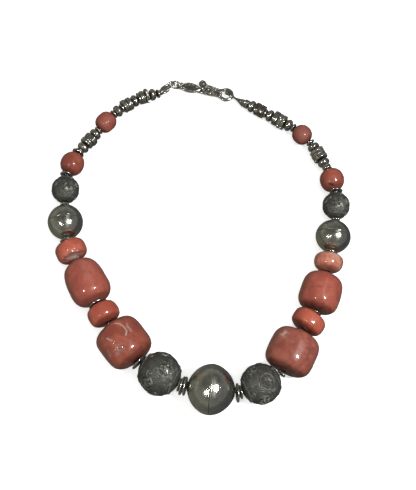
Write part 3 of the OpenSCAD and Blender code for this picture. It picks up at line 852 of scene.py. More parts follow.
class Effects:
    """Shader node groups that several materials share."""

    def __init__(self) -> None:
        """Builds each group once."""
        self.tarnish = self._group("tarnish", self._tarnish, {
            "Scale": 200.0, "Amount": 0.6, "Recess": 0.0, "Bright": (0.5, 0.48, 0.42, 1),
            "Dull": (0.2, 0.19, 0.16, 1), "Black": (0.02, 0.02, 0.018, 1)}, Colour="Color", Dullness="Float")
        self.scratches = self._group("wear_lines", self._scratches, {"Scale": 300.0}, Height="Float")
        self.mottle = self._group("coral_mottle", self._mottle, {
            "Deep": (0.2, 0.05, 0.03, 1), "Middle": (0.3, 0.08, 0.05, 1), "Light": (0.45, 0.16, 0.1, 1),
            "Contrast": 0.6}, Colour="Color", Height="Float")
        self.pores = self._group("pores", self._pores, {"Scale": 10.0, "Share": 0.5}, Mask="Float")

    @staticmethod
    def _group(name: str, draw: Callable, inputs: dict[str, object], **outputs: str) -> Tree:
        """A group that reads a vector and puts out colours, masks or heights."""
        return new_group(name, "ShaderNodeTree", {"Vector": "NodeSocketVector", **inputs},
                         {key: f"NodeSocket{kind}" for key, kind in outputs.items()}, draw)

    @staticmethod
    def _tarnish(sheet: Sheet, given: Sockets) -> list[Socket]:
        """Bright metal that dulls in clouds and blackens in recesses."""
        cloud = sheet.ramp(sheet.noise(given["Vector"], given["Scale"], 5.0, 0.4), 0.32, 0.68)
        fine = sheet.ramp(sheet.noise(given["Vector"], sheet.times(given["Scale"], 6.0), 4.0), 0.4, 0.75)
        dull = sheet.times(sheet.maths("MULTIPLY_ADD", fine, 0.35, sheet.times(cloud, 0.75)), given["Amount"])
        film = sheet.blend(dull, given["Bright"], given["Dull"])
        return [sheet.blend(given["Recess"], film, given["Black"]), sheet.maths("MAXIMUM", dull, given["Recess"])]

    @staticmethod
    def _scratches(sheet: Sheet, given: Sockets) -> list[Socket]:
        """Fine wear lines in two directions, as a height."""
        heights = []
        for rotation, stretch in (((0.3, 0.2, 0.7), (1.0, 14.0, 3.0)), ((1.1, 0.5, 2.3), (12.0, 1.0, 4.0))):
            laid = sheet.mapped(given["Vector"], stretch, rotation)
            heights.append(sheet.ramp(sheet.noise(laid, given["Scale"], 2.0), 0.45, 0.7))
        return [sheet.maths("ADD", *heights)]

    @staticmethod
    def _mottle(sheet: Sheet, given: Sockets) -> list[Socket]:
        """Clouds, veins and growth lines of a polished coral."""
        broad = sheet.ramp(sheet.noise(given["Vector"], 1.1, 3.0, 0.8), 0.38, 0.66)
        small = sheet.ramp(sheet.noise(given["Vector"], 4.5, 4.0, 0.5), 0.42, 0.7)
        lines = sheet.noise(sheet.mapped(given["Vector"], (9.0, 9.0, 1.3)), 2.2, 3.0, 0.3)
        dark = sheet.times(broad, given["Contrast"])
        pale = sheet.times(sheet.times(small, sheet.less(1.0, broad)), given["Contrast"])
        tint = sheet.blend(pale, sheet.blend(dark, given["Middle"], given["Deep"]), given["Light"])
        return [sheet.blend(sheet.times(sheet.ramp(lines, 0.5, 0.72), 0.22), tint, given["Deep"]), lines]

    @staticmethod
    def _pores(sheet: Sheet, given: Sockets) -> list[Socket]:
        """Scattered tiny pores, as a mask."""
        near = sheet.add("ShaderNodeTexVoronoi", {
            "Vector": given["Vector"], "Scale": given["Scale"], "Randomness": 1.0})
        dot = sheet.ramp(near["Distance"], 0.17, 0.05)
        some = sheet.ramp(sheet.noise(given["Vector"], sheet.times(given["Scale"], 0.35), 1.0), 0.62, 0.45)
        return [sheet.times(dot, sheet.times(sheet.less(1.0, some), given["Share"]))]


def new_material(name: str) -> tuple[Material, Sheet, Node]:
    """Starts a material.

    Args:
        name: Name of the material.

    Returns:
        The material, its sheet and its Principled BSDF.
    """
    material = bpy.data.materials.new(name)
    material.use_nodes = True
    shader = next(node for node in material.node_tree.nodes if node.type == "BSDF_PRINCIPLED")
    return material, Sheet(material.node_tree), shader


@dataclass(frozen=True)
class CoralFinish:
    """Polished coral of one tone."""

    name: str
    deep: Colour
    middle: Colour
    light: Colour
    contrast: float = 0.6
    gloss: float = 1.0
    roughness: float = 0.34
    chalk: Colour = (0.52, 0.4, 0.34)
    # Dark tint for dirt, and for painted shade at the ends and inside the hole.
    dirt_and_shade_tint: Colour = (0.03, 0.016, 0.014)

    def material(self, effects: Effects) -> Material:
        """Builds the material from the shared groups."""
        material, sheet, shader = new_material(self.name)
        vector = sheet.vector(*(sheet.mark(f"grain_{axis}") for axis in "xyz"))
        pale, grime = sheet.mark("pale"), sheet.mark("grime")
        mottle = sheet.group(effects.mottle, {"Vector": vector, "Deep": self.deep, "Middle": self.middle,
                                              "Light": self.light, "Contrast": self.contrast})
        pores = sheet.group(effects.pores, {"Vector": vector, "Scale": 11.0})["Mask"]
        tint = sheet.blend(pale, mottle["Colour"], self.chalk)
        tint = sheet.blend(sheet.times(pores, 0.55), tint, self.deep)
        wear_and_painted_light = sheet.maths("MAXIMUM", sheet.times(pale, 0.6), grime)
        rough = sheet.maths("MULTIPLY_ADD", sheet.noise(vector, 3.0, 3.0), 0.12, self.roughness - 0.06)
        relief = sheet.less(sheet.times(mottle["Height"], 0.25), pores)
        # The base colour darkens to the dark tint where the dirt-and-shade mask is set: dirt in marks and specks,
        # painted shade at the ends and in the hole.
        sheet.feed(shader, {
            "Base Color": sheet.blend(grime, tint, self.dirt_and_shade_tint), "Roughness": sheet.between(wear_and_painted_light, rough, 0.62),
            "Coat Weight": sheet.times(sheet.less(1.0, wear_and_painted_light), self.gloss), "Coat Roughness": 0.035,
            "Coat IOR": 1.6, "Specular IOR Level": 0.25, "Normal": sheet.bump(relief, 0.3, 0.00008)})
        return material


@dataclass(frozen=True)
class SilverFinish:
    """Old silver, from polished to blackened."""

    name: str
    bright: Colour
    dull: Colour
    black: Colour
    tarnish: float
    polish: float
    cloud: float = 220.0
    copper: Colour = (0.2, 0.08, 0.055)
    # Bright tint where the rim mask is set: rubbed wear, and a painted sheen on the lamp side of some clasp wires.
    rubbed_and_painted_sheen: Colour = (0.78, 0.75, 0.66)

    def material(self, effects: Effects) -> Material:
        """Builds the material from the shared groups."""
        material, sheet, shader = new_material(self.name)
        spot, recess, rim = sheet.spot(), sheet.mark("recess"), sheet.mark("rim")
        film = sheet.group(effects.tarnish, {"Vector": spot, "Recess": recess, "Scale": self.cloud,
                                             "Amount": self.tarnish, "Bright": self.bright, "Dull": self.dull,
                                             "Black": self.black})
        lines = sheet.group(effects.scratches, {"Vector": spot})["Height"]
        tint = sheet.blend(sheet.mark("copper"), film["Colour"], self.copper)
        rough = sheet.between(film["Dullness"], self.polish, self.polish + 0.13)
        relief = sheet.maths("MULTIPLY_ADD", sheet.noise(spot, 2600.0, 2.0), 0.6, lines)
        # The base colour turns to the bright rim tint: rubbed wear, and painted sheen where the rim mask is set by
        # side.
        sheet.feed(shader, {
            "Base Color": sheet.blend(sheet.times(rim, 0.75), tint, self.rubbed_and_painted_sheen),
            "Metallic": sheet.maths("MULTIPLY_ADD", recess, -0.35, 1.0),
            "Roughness": sheet.between(sheet.times(rim, 0.8), rough, 0.2),
            "Normal": sheet.bump(relief, 0.22, 0.00005)})
        return material


@dataclass(frozen=True)
class ThreadFinish:
    """Waxed dark cotton."""

    name: str
    dark: Colour
    light: Colour

    def material(self) -> Material:
        """Builds the material."""
        material, sheet, shader = new_material(self.name)
        fibre = sheet.noise(sheet.spot(), 3500.0, 4.0, 0.5)
        sheet.feed(shader, {
            "Base Color": sheet.blend(sheet.ramp(fibre, 0.35, 0.7), self.dark, self.light),
            "Roughness": sheet.maths("MULTIPLY_ADD", fibre, 0.2, 0.6), "Normal": sheet.bump(fibre, 0.5, 0.00006)})
        return material


ORANGE = CoralFinish("orange_coral", (0.3, 0.058, 0.035), (0.45, 0.1, 0.058), (0.55, 0.155, 0.088))
BRICK = CoralFinish("brick_coral", (0.2, 0.043, 0.028), (0.305, 0.073, 0.044), (0.375, 0.106, 0.064), 0.7)
CLOUDED = CoralFinish("clouded_coral", (0.19, 0.048, 0.033), (0.335, 0.088, 0.058), (0.375, 0.134, 0.087), 0.7)
ROSE = CoralFinish("rose_coral", (0.25, 0.052, 0.036), (0.365, 0.088, 0.057), (0.43, 0.127, 0.084), 0.55)
SALMON = CoralFinish("salmon_coral", (0.36, 0.1, 0.06), (0.49, 0.165, 0.105), (0.6, 0.28, 0.19), 0.9)
MATT = CoralFinish("matt_coral", (0.2, 0.05, 0.034), (0.29, 0.08, 0.056), (0.35, 0.112, 0.08), 0.5, 0.25, 0.5)
DUSKY = CoralFinish("dusky_coral", (0.17, 0.045, 0.036), (0.25, 0.077, 0.06), (0.31, 0.11, 0.088), 0.5, 0.3, 0.45)

POLISHED_SILVER = SilverFinish(
    "polished_silver", (0.74, 0.74, 0.66), (0.44, 0.44, 0.37), (0.04, 0.04, 0.035), 0.75, 0.125)
FILIGREE_SILVER = SilverFinish(
    "filigree_silver", (0.265, 0.27, 0.24), (0.175, 0.178, 0.158), (0.045, 0.045, 0.04), 0.9, 0.5, 500.0)
SPACER_SILVER = SilverFinish(
    "spacer_silver", (0.64, 0.64, 0.56), (0.26, 0.26, 0.22), (0.02, 0.02, 0.017), 0.85, 0.13, 420.0)
CLASP_SILVER = SilverFinish(
    "clasp_silver", (0.52, 0.51, 0.44), (0.22, 0.22, 0.19), (0.035, 0.035, 0.03), 0.85, 0.22, 420.0)
WAXED_THREAD = ThreadFinish("waxed_thread", (0.02, 0.017, 0.014), (0.06, 0.05, 0.04))


class MarkKind(Enum):
    """How a mark on a coral is cut."""

    GROOVE = "groove"
    CRACK = "crack"
    PIT = "pit"
    PATCH = "patch"


GROOVE, CRACK, PIT, PATCH = MarkKind


@dataclass(frozen=True)
class Mark:
    """A mark on a coral along a path of pairs: degrees round the hole and millimetres along it."""

    kind: MarkKind
    path: tuple[tuple[float, float], ...]
    width: float
    depth: float = 0.0
    pale: float = 0.0
    # Darkening along the mark: dirt in its cracks and pits, and painted shade where the mark lies on a shaded end.
    grime: float = 0.0
    ragged: float = 0.25


@dataclass(frozen=True)
class CoralLook:
    """What sets one coral bead apart from the others."""

    finish: CoralFinish
    seed: int
    lumps: float = 0.12
    facets: float = 0.0
    # Painted shade with some dirt: darkening of the end nearer the centre bead and of the far end, round the holes.
    end_dirt_and_shade: float = 0.5
    far_end_dirt_and_shade: float = 0.35
    marks: tuple[Mark, ...] = ()


CORAL_LOOKS: dict[str, CoralLook] = {
    "left_front_barrel": CoralLook(BRICK, 11, 0.2, marks=(
        Mark(GROOVE, ((187, 7.3), (195, 5.6), (198, 3.2), (197, 0.7), (190, -0.8)), 0.34, 0.3, 0.75),
        Mark(GROOVE, ((209, 3.6), (207, 2.0), (206, -0.4)), 0.5, 0.1, 0.45, 0.0, 0.5),
        Mark(GROOVE, ((151, 3.6), (154, 2.4), (158, 1.0)), 0.32, 0.28, 0.8),
        Mark(CRACK, ((158, 1.0), (160, -0.6), (161, -2.0)), 0.2, 0.12, 0.1, 0.35),
        Mark(PIT, ((158, -2.7),), 0.75, 0.35, 0.4, 0.25, 0.5),
        Mark(PIT, ((163, -5.0),), 0.6, 0.3, 0.35, 0.3, 0.5),
        Mark(PIT, ((151, -4.8),), 0.85, 0.35, 0.3, 0.35, 0.5),
        Mark(PIT, ((155, -3.9),), 0.5, 0.25, 0.6, 0.0, 0.5),
        Mark(PATCH, ((128, -2.6),), 0.7, 0.05, 0.3, 0.0, 0.6),
        Mark(CRACK, ((215, 8.0), (222, 3.0), (219, -3.0)), 0.25, 0.08, 0.0, 0.2),
    )),
    "right_front_barrel": CoralLook(CLOUDED, 23, end_dirt_and_shade=0.6, marks=(
        Mark(PATCH, ((144, 4.4), (141.5, 3.3)), 1.05, 0.04, 0.72, 0.0, 0.5),
        Mark(PATCH, ((172, 2.4), (181, 1.6)), 2.6, 0.0, 0.0, 0.16, 0.7),
        Mark(PATCH, ((205, 6.0), (214, 3.0), (222, -1.0)), 1.1, 0.02, 0.0, 0.3, 0.8),
        # Painted shade with some dirt: a dark crescent on the near end.
        Mark(PATCH, ((175, -9.9), (215, -9.85)), 2.6, 0.0, 0.0, 0.62, 0.3),
    )),
    "left_side_barrel": CoralLook(ROSE, 31, marks=(
        Mark(PATCH, ((196, 6.0), (190, -2.0)), 1.6, 0.0, 0.08, 0.0, 0.6),
    )),
    "right_side_barrel": CoralLook(ROSE, 43, end_dirt_and_shade=0.6, marks=(
        Mark(CRACK, ((119, -2.6), (147, -1.8), (171, -0.7), (201, 0.8), (251, 3.4)), 0.26, 0.14, 0.0, 0.5, 0.3),
        Mark(CRACK, ((220, 6.6), (229, 1.6), (237, -3.6)), 0.3, 0.06, 0.0, 0.22, 0.4),
        # Painted shade with some dirt: a dark crescent on the near end.
        Mark(PATCH, ((160, -9.3), (200, -9.3)), 2.3, 0.0, 0.0, 0.75, 0.4),
    )),
    "left_front_rondelle": CoralLook(ORANGE, 53, 0.16),
    "right_front_rondelle": CoralLook(ORANGE, 59, 0.1, end_dirt_and_shade=0.55),
    "left_side_rondelle": CoralLook(ORANGE, 61, 0.14, marks=(
        Mark(PIT, ((165, -5.0), (200, -5.05)), 2.1, 1.7, 1.0, 0.0, 0.35),
    )),
    "right_side_rondelle": CoralLook(SALMON, 67, 0.14, marks=(
        Mark(PATCH, ((190, 3.0), (200, 2.4)), 1.5, 0.03, 0.45, 0.0, 0.8),
        Mark(CRACK, ((215, 1.5), (214, -1.5), (200, -3.2)), 0.5, 0.05, 0.0, 0.12, 0.5),
    )),
    "left_round_coral": CoralLook(BRICK, 71, 0.06),
    "right_round_coral": CoralLook(BRICK, 73, 0.08, marks=(
        Mark(PIT, ((146, -4.3), (154, -4.9)), 0.9, 0.35, 0.0, 0.95, 0.4),
    )),
    "left_small_coral": CoralLook(MATT, 79, 0.06, facets=0.16),
    "right_small_coral": CoralLook(DUSKY, 83, 0.06),
}


@dataclass
class CoralBead:
    """A drilled and polished coral."""

    item: Item
    place: Place
    look: CoralLook
    row_step: float = 0.35
    segment_step: float = 0.42
    lip: float = 0.35
    polish_waves: float = 0.012
    ridge_share: float = 0.25
    # Painted shade with some dirt inside the hole.
    bore_dirt_and_shade: float = 0.7
    specks: int = 26
    speck_depth: float = 0.07
    speck_grime: float = 0.3

    def _distance(self, points: np.ndarray, mark: Mark) -> np.ndarray:
        """Distance of each point to a mark's path, made ragged."""
        outline = self.item.outline()
        path = []
        for angle, along in mark.path:
            radius = np.interp(along, outline[:, 1], outline[:, 0])
            path.append(np.array([*(radius * flat(angle)), along]))
        far = np.full(len(points), np.inf)
        for a, b in zip(path, path[1:] or path):
            share = np.clip((points - a) @ (b - a) / max((b - a) @ (b - a), 1e-6), 0, 1)
            far = np.minimum(far, np.linalg.norm(points - (a + share[:, None] * (b - a)), axis=1))
        return far * (1 + mark.ragged * wave_field(points, self.look.seed + 7, 2.2, 2))

    def shape(self) -> Shape:
        """Builds the bead with its lumps, facets, marks and specks."""
        item, look = self.item, self.look
        rows = max(24, int((item.length + item.diameter) / self.row_step))
        segments = max(48, int(math.pi * item.diameter / self.segment_step))
        body = Lathed(item.outline(), BEAD_BORE_R, self.lip, rows, segments)
        points, outside = body.points, body.outside
        free = step(body.radial, BEAD_BORE_R + 0.2, BEAD_BORE_R + 2.0) * outside
        height = look.lumps * (wave_field(points, look.seed, item.diameter * 0.9, 3) - 0.6) * free
        height += self.polish_waves * wave_field(points, look.seed + 3, 1.6, 2) * free
        if look.facets:
            cell = np.abs(wave_field(points, look.seed + 5, item.diameter * 0.55, 1))
            height -= look.facets * step(cell, 0.1, 0.8) * free
        pale = np.zeros(len(points))
        grime = np.zeros(len(points))
        for mark in look.marks:
            far = self._distance(points, mark) / mark.width
            if mark.kind in (PIT, PATCH):
                weight = 1 / (1 + far**4)
            else:
                weight = bell(far, 1)
                height += self.ridge_share * mark.depth * bell(far - 1.9, 0.7)
            height -= mark.depth * weight * outside
            pale = np.maximum(pale, mark.pale * weight)
            grime = np.maximum(grime, mark.grime * weight)
        rng = np.random.default_rng(look.seed + 9)
        angles, alongs, widths = (rng.uniform(low, high, self.specks)
                                  for low, high in ((0, 2 * math.pi), (-0.42, 0.42), (0.16, 0.34)))
        for angle, along, width in zip(angles, alongs, widths):
            spot = (item.diameter / 2 * math.cos(angle), item.diameter / 2 * math.sin(angle), along * item.length)
            weight = bell(np.linalg.norm(points - spot, axis=1), width)
            height -= self.speck_depth * weight * free
            grime = np.maximum(grime, self.speck_grime * weight)
        # Painted shade: the ends round the holes darken, the near end most, standing partly for dirt and mostly for
        # the shade that falls there.
        ends = step(np.abs(body.normals[:, 2]) + 0.05 * wave_field(points, look.seed + 13, 4.0, 2), 0.6, 0.88)
        strength = np.where(points[:, 2] < 0, look.end_dirt_and_shade, look.far_end_dirt_and_shade)
        grime = np.maximum(grime, ends * strength * (0.8 + 0.2 * wave_field(points, look.seed + 11, 3.0, 2)))
        grain = (points + np.random.default_rng(look.seed).uniform(-60, 60, 3)) / 10
        # Inside the hole the wall takes the bore darkening, painted shade with some dirt.
        return body.finished(
            body.normals * height[:, None], pale=np.clip(pale, 0, 1),
            grime=np.clip(np.where(outside, grime, self.bore_dirt_and_shade), 0, 1),
            **{f"grain_{axis}": grain[:, k] for k, axis in enumerate("xyz")})

    def build(self, materials: dict[str, Material]) -> None:
        """Makes, dresses and settles the piece."""
        self.shape().carried(self.place).settle(self.item.name, "coral", "coral", materials[self.look.finish.name])


@dataclass
class SilverBall:
    """A hollow silver ball of two halves, soldered along a seam."""

    item: Item
    place: Place
    seed: int
    dents: float = 0.07
    seam_height: float = 0.13
    seam_depth: float = 0.24
    seam_fade: float = 0.0
    collar_height: float = 0.1
    lip: float = 0.3
    focus: float = 5.0
    rows: int = 84
    segments: int = 128
    dings: int = 34

    def shape(self) -> Shape:
        """Builds the ball with its seam, dents, dings and collars."""
        item = self.item
        body = Lathed(item.outline(), BEAD_BORE_R, self.lip, self.rows, self.segments, self.focus)
        points, outside, radial = body.points, body.outside, body.radial
        free = step(radial, BEAD_BORE_R + 0.2, BEAD_BORE_R + 1.6) * outside
        height = self.dents * (wave_field(points, self.seed, item.diameter * 0.8, 3) - 0.7) * free
        off = points[:, 2] - 0.2 * wave_field(points * (1, 1, 0), self.seed + 1, item.diameter * 0.6, 2)
        fade = 1 - self.seam_fade * step(points[:, 1], -2.0, 7.0)
        height += self.seam_height * bell(off, 0.42) * outside
        height -= self.seam_depth * fade * bell(off, 0.2) * outside
        collar = bell(radial - BEAD_BORE_R - 0.75, 0.3) * outside
        height += self.collar_height * collar
        recess = np.maximum(0.97 * fade * bell(off, 0.3), 0.5 * bell(radial - BEAD_BORE_R - 1.35, 0.35))
        rng = np.random.default_rng(self.seed + 2)
        for _ in range(self.dings):
            way = rng.normal(size=3)
            way /= np.linalg.norm(way)
            spot = way * (item.diameter / 2, item.diameter / 2, item.length / 2)
            weight = bell(np.linalg.norm(points - spot, axis=1), rng.uniform(0.25, 0.9))
            height -= rng.uniform(0.01, 0.035) * weight * free
        return body.finished(body.normals * height[:, None], rim=0.4 * collar,
                             recess=np.where(outside, np.clip(recess, 0, 1), 1.0))

    def build(self, material: Material) -> None:
        """Makes, dresses and settles the piece."""
        self.shape().carried(self.place).settle(self.item.name, "shell", "silver", material)


@dataclass
class FiligreeBall:
    """A dark ball covered with wire medallions, with plain caps round its holes."""

    item: Item
    place: Place
    first_angle: float
    stagger: float
    growths: Growths
    # Brightening of the first medallion's wires: rubbed wear, and a painted highlight where that medallion catches
    # the lamp.
    wear_and_painted_light: float = 0.0
    seed: int = 29
    sunk: float = 0.34
    relief: float = 0.26
    lip: float = 0.3
    count: int = 6
    lay: float = 0.82
    twist_step: float = 0.28
    scrolls: int = 64
    medallion_share: float = 0.37
    wire_share: float = 0.03
    cap_latitude: float = 53.0
    rows_per_mm: int = 13
    segments_per_mm: int = 24

    def _middles(self) -> np.ndarray:
        """Unit vectors to the middles of the medallions."""
        index = np.arange(self.count)
        round_it = np.radians(self.first_angle + 360 / self.count * index)
        lean = np.radians(self.stagger) * np.where(index % 2, -1, 1)
        return columns(np.cos(lean) * np.cos(round_it), np.cos(lean) * np.sin(round_it), np.sin(lean))

    def _scroll_middles(self) -> np.ndarray:
        """Unit vectors to the middles of the scrolls: the medallions first, then evenly between them."""
        index = np.arange(self.scrolls) + 0.5
        up = 1 - 2 * index / self.scrolls
        round_it = index * GOLDEN_TURN + math.radians(self.first_angle)
        level = np.sqrt(1 - up * up)
        spread = columns(level * np.cos(round_it), level * np.sin(round_it), up)
        middles = self._middles()
        clear = (spread @ middles.T).max(axis=1) < math.cos(1.25 * self.medallion_share)
        return np.concatenate([middles, spread[clear]])

    def _body(self) -> Shape:
        """The ground: wires laid in scrolls between the medallions, and a smooth cap at each pole."""
        radius, half = self.item.diameter / 2, self.item.length / 2
        t = np.linspace(-math.pi / 2, math.pi / 2, OUTLINE_POINTS)
        outline = columns(radius * np.cos(t), np.clip(radius * np.sin(t), -half, half))
        body = Lathed(outline, BEAD_BORE_R, self.lip, int(radius * self.rows_per_mm),
                      int(radius * self.segments_per_mm), 0.7, radius * 0.8)
        points, outside = body.points, body.outside
        way = points / np.linalg.norm(points, axis=1, keepdims=True)
        plain = step(np.abs(np.degrees(np.arcsin(np.clip(way[:, 2], -1, 1)))), self.cap_latitude - 1,
                     self.cap_latitude + 3)
        middles = self._scroll_middles()
        closeness = way @ middles.T
        middle = middles[closeness.argmax(axis=1)]
        near = np.arccos(np.clip(closeness.max(axis=1), -1, 1)) * radius
        to_medallion = np.arccos(np.clip(closeness[:, :self.count].max(axis=1), -1, 1)) * radius
        across = np.cross((0.0, 0.0, 1.0), middle)
        across /= np.linalg.norm(across, axis=1, keepdims=True)
        round_it = np.arctan2((way * np.cross(middle, across)).sum(axis=1), (way * across).sum(axis=1))
        swept = near + 0.14 * wave_field(points, self.seed, 7.0, 2)
        inside = 1 - step(to_medallion, radius * self.medallion_share * 0.86, radius * self.medallion_share)
        phase = 2 * math.pi * swept / self.lay
        ridge = 0.5 + 0.5 * np.cos(phase - round_it)
        twist = 0.5 + 0.5 * np.cos(round_it * np.round(near / self.twist_step) + phase - round_it)
        wire = (1 - inside) * ridge * (0.7 + 0.3 * twist)
        depth = (1 - plain) * (self.sunk * inside + self.relief * (1 - inside) * (1 - wire)) + 0.02
        depth += 0.04 * plain * (wave_field(points, self.seed + 1, 5.0, 2) + 1)
        recess = (1 - plain) * (0.85 * inside + (1 - inside) * (0.05 + 0.85 * (1 - wire))) + 0.12 * plain
        return body.finished(-way * (depth * outside)[:, None], rim=0.04 * (1 - plain) * wire,
                             recess=np.where(outside, np.clip(recess, 0, 1), 1.0))

    def _wires(self, carrier: Material) -> list[Shape]:
        """Medallions about the middle, rosettes between them and a rope round each cap."""
        radius = self.item.diameter / 2

        def ring(share: float, curls: int, grain: float, grains: int, angle: float, latitude: float,
                 stagger: float) -> Shape:
            """Medallions in a ring, with their sizes as shares of the radius and their angles in degrees."""
            return grown(self.growths.medallions, {
                "Wire Radius": radius * self.wire_share, "Material": carrier, "Count": self.count,
                "Ball Radius": radius - 0.1, "Medallion Radius": radius * share, "Curls": curls,
                "Grain Radius": radius * grain, "Grain Count": grains, "First Angle": math.radians(angle),
                "Latitude": math.radians(latitude), "Stagger": math.radians(stagger)})

        out = [ring(self.medallion_share, 4, 0.026, 26, self.first_angle, 0.0, self.stagger)]
        for side in (-1, 1):
            out.append(ring(0.13, 1, 0.025, 8, self.first_angle + 30, 30 * side, -0.9 * self.stagger))
            angle, latitude = lap(90), math.radians(self.cap_latitude * side)
            line = 0.995 * radius * columns(
                math.cos(latitude) * np.cos(angle), math.cos(latitude) * np.sin(angle), math.sin(latitude))
            out.append(grown(self.growths.rope, {
                "Strands": 2, "Strand Radius": radius * 0.022, "Offset": radius * 0.018, "Turns per mm": 0.7,
                "Step": 0.28, "Material": carrier}, line, True))
        return out

    def build(self, material: Material) -> None:
        """Makes, dresses and settles the piece."""
        wires = [wire.marked(recess=0.1, rim=0.1) for wire in self._wires(material)]
        points = wires[0].points
        facing = points @ self._middles()[0] / np.linalg.norm(points, axis=1)
        # Painted highlight with rubbed wear: spots on the first medallion's wires are brightened by the given
        # amount.
        rubbed_and_painted_sheen = step(wave_field(points, self.seed + 2, 1.7, 2), 0.0, 0.3)
        wires[0].values["rim"] = 0.02 + self.wear_and_painted_light * rubbed_and_painted_sheen * step(facing, math.cos(1.3 * self.medallion_share), 1.0)
        Shape.joined([self._body(), *wires]).carried(self.place).settle(
            self.item.name, "ball", "filigree_silver", material)


def mirrored(half: Sequence[tuple[float, float]]) -> np.ndarray:
    """A line of pairs of radius and height, carried on to its mirror image in the middle plane."""
    line = np.array(half, float)
    return np.concatenate([line, line[::-1] * (1, -1)])


@dataclass
class SpacerMaker:
    """Makes the small silver spacers, each along +Z about its own middle."""

    growths: Growths
    carrier: Material
    segments: int = 40
    ball_rows: int = 44
    block_segments: int = 64
    notches: int = 10
    notch_share: float = 0.13
    seed_grains: int = 9
    corner_cut: float = 0.22
    turn: float = 20.0
    tilt: float = 2.6
    sag: float = 0.22
    sway: float = 0.2

    def _rounded(self, half: Sequence[tuple[float, float]]) -> np.ndarray:
        """Mirrored profile with its corners cut round, twice over."""
        line, cut = mirrored(half), self.corner_cut
        for _ in range(2):
            ahead = np.roll(line, -1, 0)
            line = np.stack([line * (1 - cut) + ahead * cut, line * cut + ahead * (1 - cut)], axis=1).reshape(-1, 2)
        return line

    @staticmethod
    def _edge_marks(shape: Shape, item: Item, rim_from: float, floor: float = 0.2) -> Shape:
        """Marks bright outer edges and dark insides."""
        radial = np.linalg.norm(shape.points[:, :2], axis=1)
        rim = step(radial, item.diameter / 2 * rim_from, item.diameter / 2 * 0.99)
        dark = 1 - step(radial, SPACER_BORE_R, item.diameter / 2 * rim_from)
        shape.values = {"rim": rim * 0.85, "recess": np.clip(dark * 0.95 + floor * (1 - rim), 0, 1)}
        return shape

    def ball(self, item: Item, seed: int) -> Shape:
        """A small hollow ball with a faint seam."""
        body = Lathed(item.outline(), SPACER_BORE_R, 0.18, self.ball_rows, self.segments, 3.0)
        seam = bell(body.points[:, 2] - 0.05 * wave_field(body.points, seed, 3.0, 2), 0.1)
        height = -0.012 * seam * body.outside - 0.03
        height += 0.03 * wave_field(body.points, seed + 1, 4.0, 2)
        recess = 0.15 * seam + 0.9 * step(-body.radial, -2.5, -1.5)
        return body.finished(body.normals * height[:, None], rim=0.35 * body.outside,
                             recess=np.where(body.outside, np.clip(recess, 0, 1), 1.0))

    def _rolled(self, item: Item, half_turn: float, count: int, hub: Sequence[tuple[float, float]],
                rim_from: float) -> Shape:
        """A disc whose edge is a round wire, with a hub given as a half profile."""
        r, h = item.diameter / 2, item.length / 2
        a = np.linspace(-half_turn, half_turn, count)
        rim = columns(r - h + h * np.cos(a), h * np.sin(a))
        return self._edge_marks(revolved(np.concatenate([rim, mirrored(hub)]), self.segments), item, rim_from)

    def washer(self, item: Item) -> Shape:
        """A thin washer whose edge is rolled to a round wire."""
        h, bore = item.length / 2, SPACER_BORE_R
        return self._rolled(item, 2.45, 15, [(bore + 0.5, 0.2), (bore + 0.3, h * 0.9), (bore, h * 0.9)], 0.78)

    def ring(self, item: Item) -> Shape:
        """A small ring of thick wire."""
        h, bore = item.length / 2, SPACER_BORE_R
        return self._rolled(item, 1.9, 13, [(bore + 0.12, h * 0.8), (bore, h * 0.6)], 0.7)

    def disc(self, item: Item) -> Shape:
        """A thick disc with a groove turned into its edge."""
        r, h, bore = item.diameter / 2, item.length / 2, SPACER_BORE_R
        z = np.linspace(-h, h, 19)
        edge = r - 0.42 * (1 - np.abs(np.sin(math.pi * z / h)) ** 0.6)
        edge[0] = edge[-1] = r - 0.45
        hub = mirrored([(bore + 0.6, h), (bore + 0.3, h * 0.8), (bore, h * 0.7)])
        return self._edge_marks(revolved(np.concatenate([columns(edge, z), hub]), self.segments), item, 0.88)

    def gear(self, item: Item) -> Shape:
        """A disc with round notches filed about its edge."""
        r, h, bore = item.diameter / 2, item.length / 2, SPACER_BORE_R
        line = self._rounded([(bore, -h * 0.8), (bore + 0.2, -h), (r - 0.3, -h), (r, -h * 0.62)])
        segments = 8 * self.notches
        notch = np.clip(np.cos(self.notches * lap(segments)) * 1.35 - 0.35, 0, 1)
        cut = notch[None, :] * step(line[:, 0], r * 0.5, r * 0.95)[:, None]
        shape = self._edge_marks(revolved(line, segments, 1 - self.notch_share * cut), item, 0.8)
        shape.values["recess"] = np.maximum(shape.values["recess"], 0.7 * cut.reshape(-1))
        return shape

    def block(self, item: Item, copper: bool) -> Shape:
        """A square tablet with rounded corners, inlaid on its sides where it is a tile."""
        r, h, bore = item.diameter / 2, item.length / 2, SPACER_BORE_R
        line = self._rounded([(bore, -h * 0.8), (bore + 0.2, -h), (r - 0.3, -h), (r, -h + 0.3),
                              (r - (0.12 if copper else 0.0), -h + 0.55)])
        segments = self.block_segments
        angle = 2 * math.pi * (np.arange(segments) + 0.5) / segments
        square = np.minimum(0.86 / np.maximum(np.abs(np.cos(angle)), np.abs(np.sin(angle))), 1.0)
        outer = step(line[:, 0], r * 0.4, r * 0.9)
        shape = self._edge_marks(
            revolved(line, segments, 1 - (1 - square)[None, :] * outer[:, None]), item, 0.9, 0.35)
        inlay = (np.abs(line[:, 1]) < h - 0.5) & (line[:, 0] > r * 0.8)
        face = (inlay[:, None] & (square < 0.99)[None, :]).reshape(-1).astype(float)
        shape.values["rim"] = 0.35 * (outer[:, None] * step(square, 0.93, 1.0)[None, :]).reshape(-1)
        shape.values["recess"] = np.where(face > 0, 0.15 if copper else 0.45, shape.values["recess"] * 0.8)
        shape.values["copper"] = face * (0.6 if copper else 0.0)
        return shape

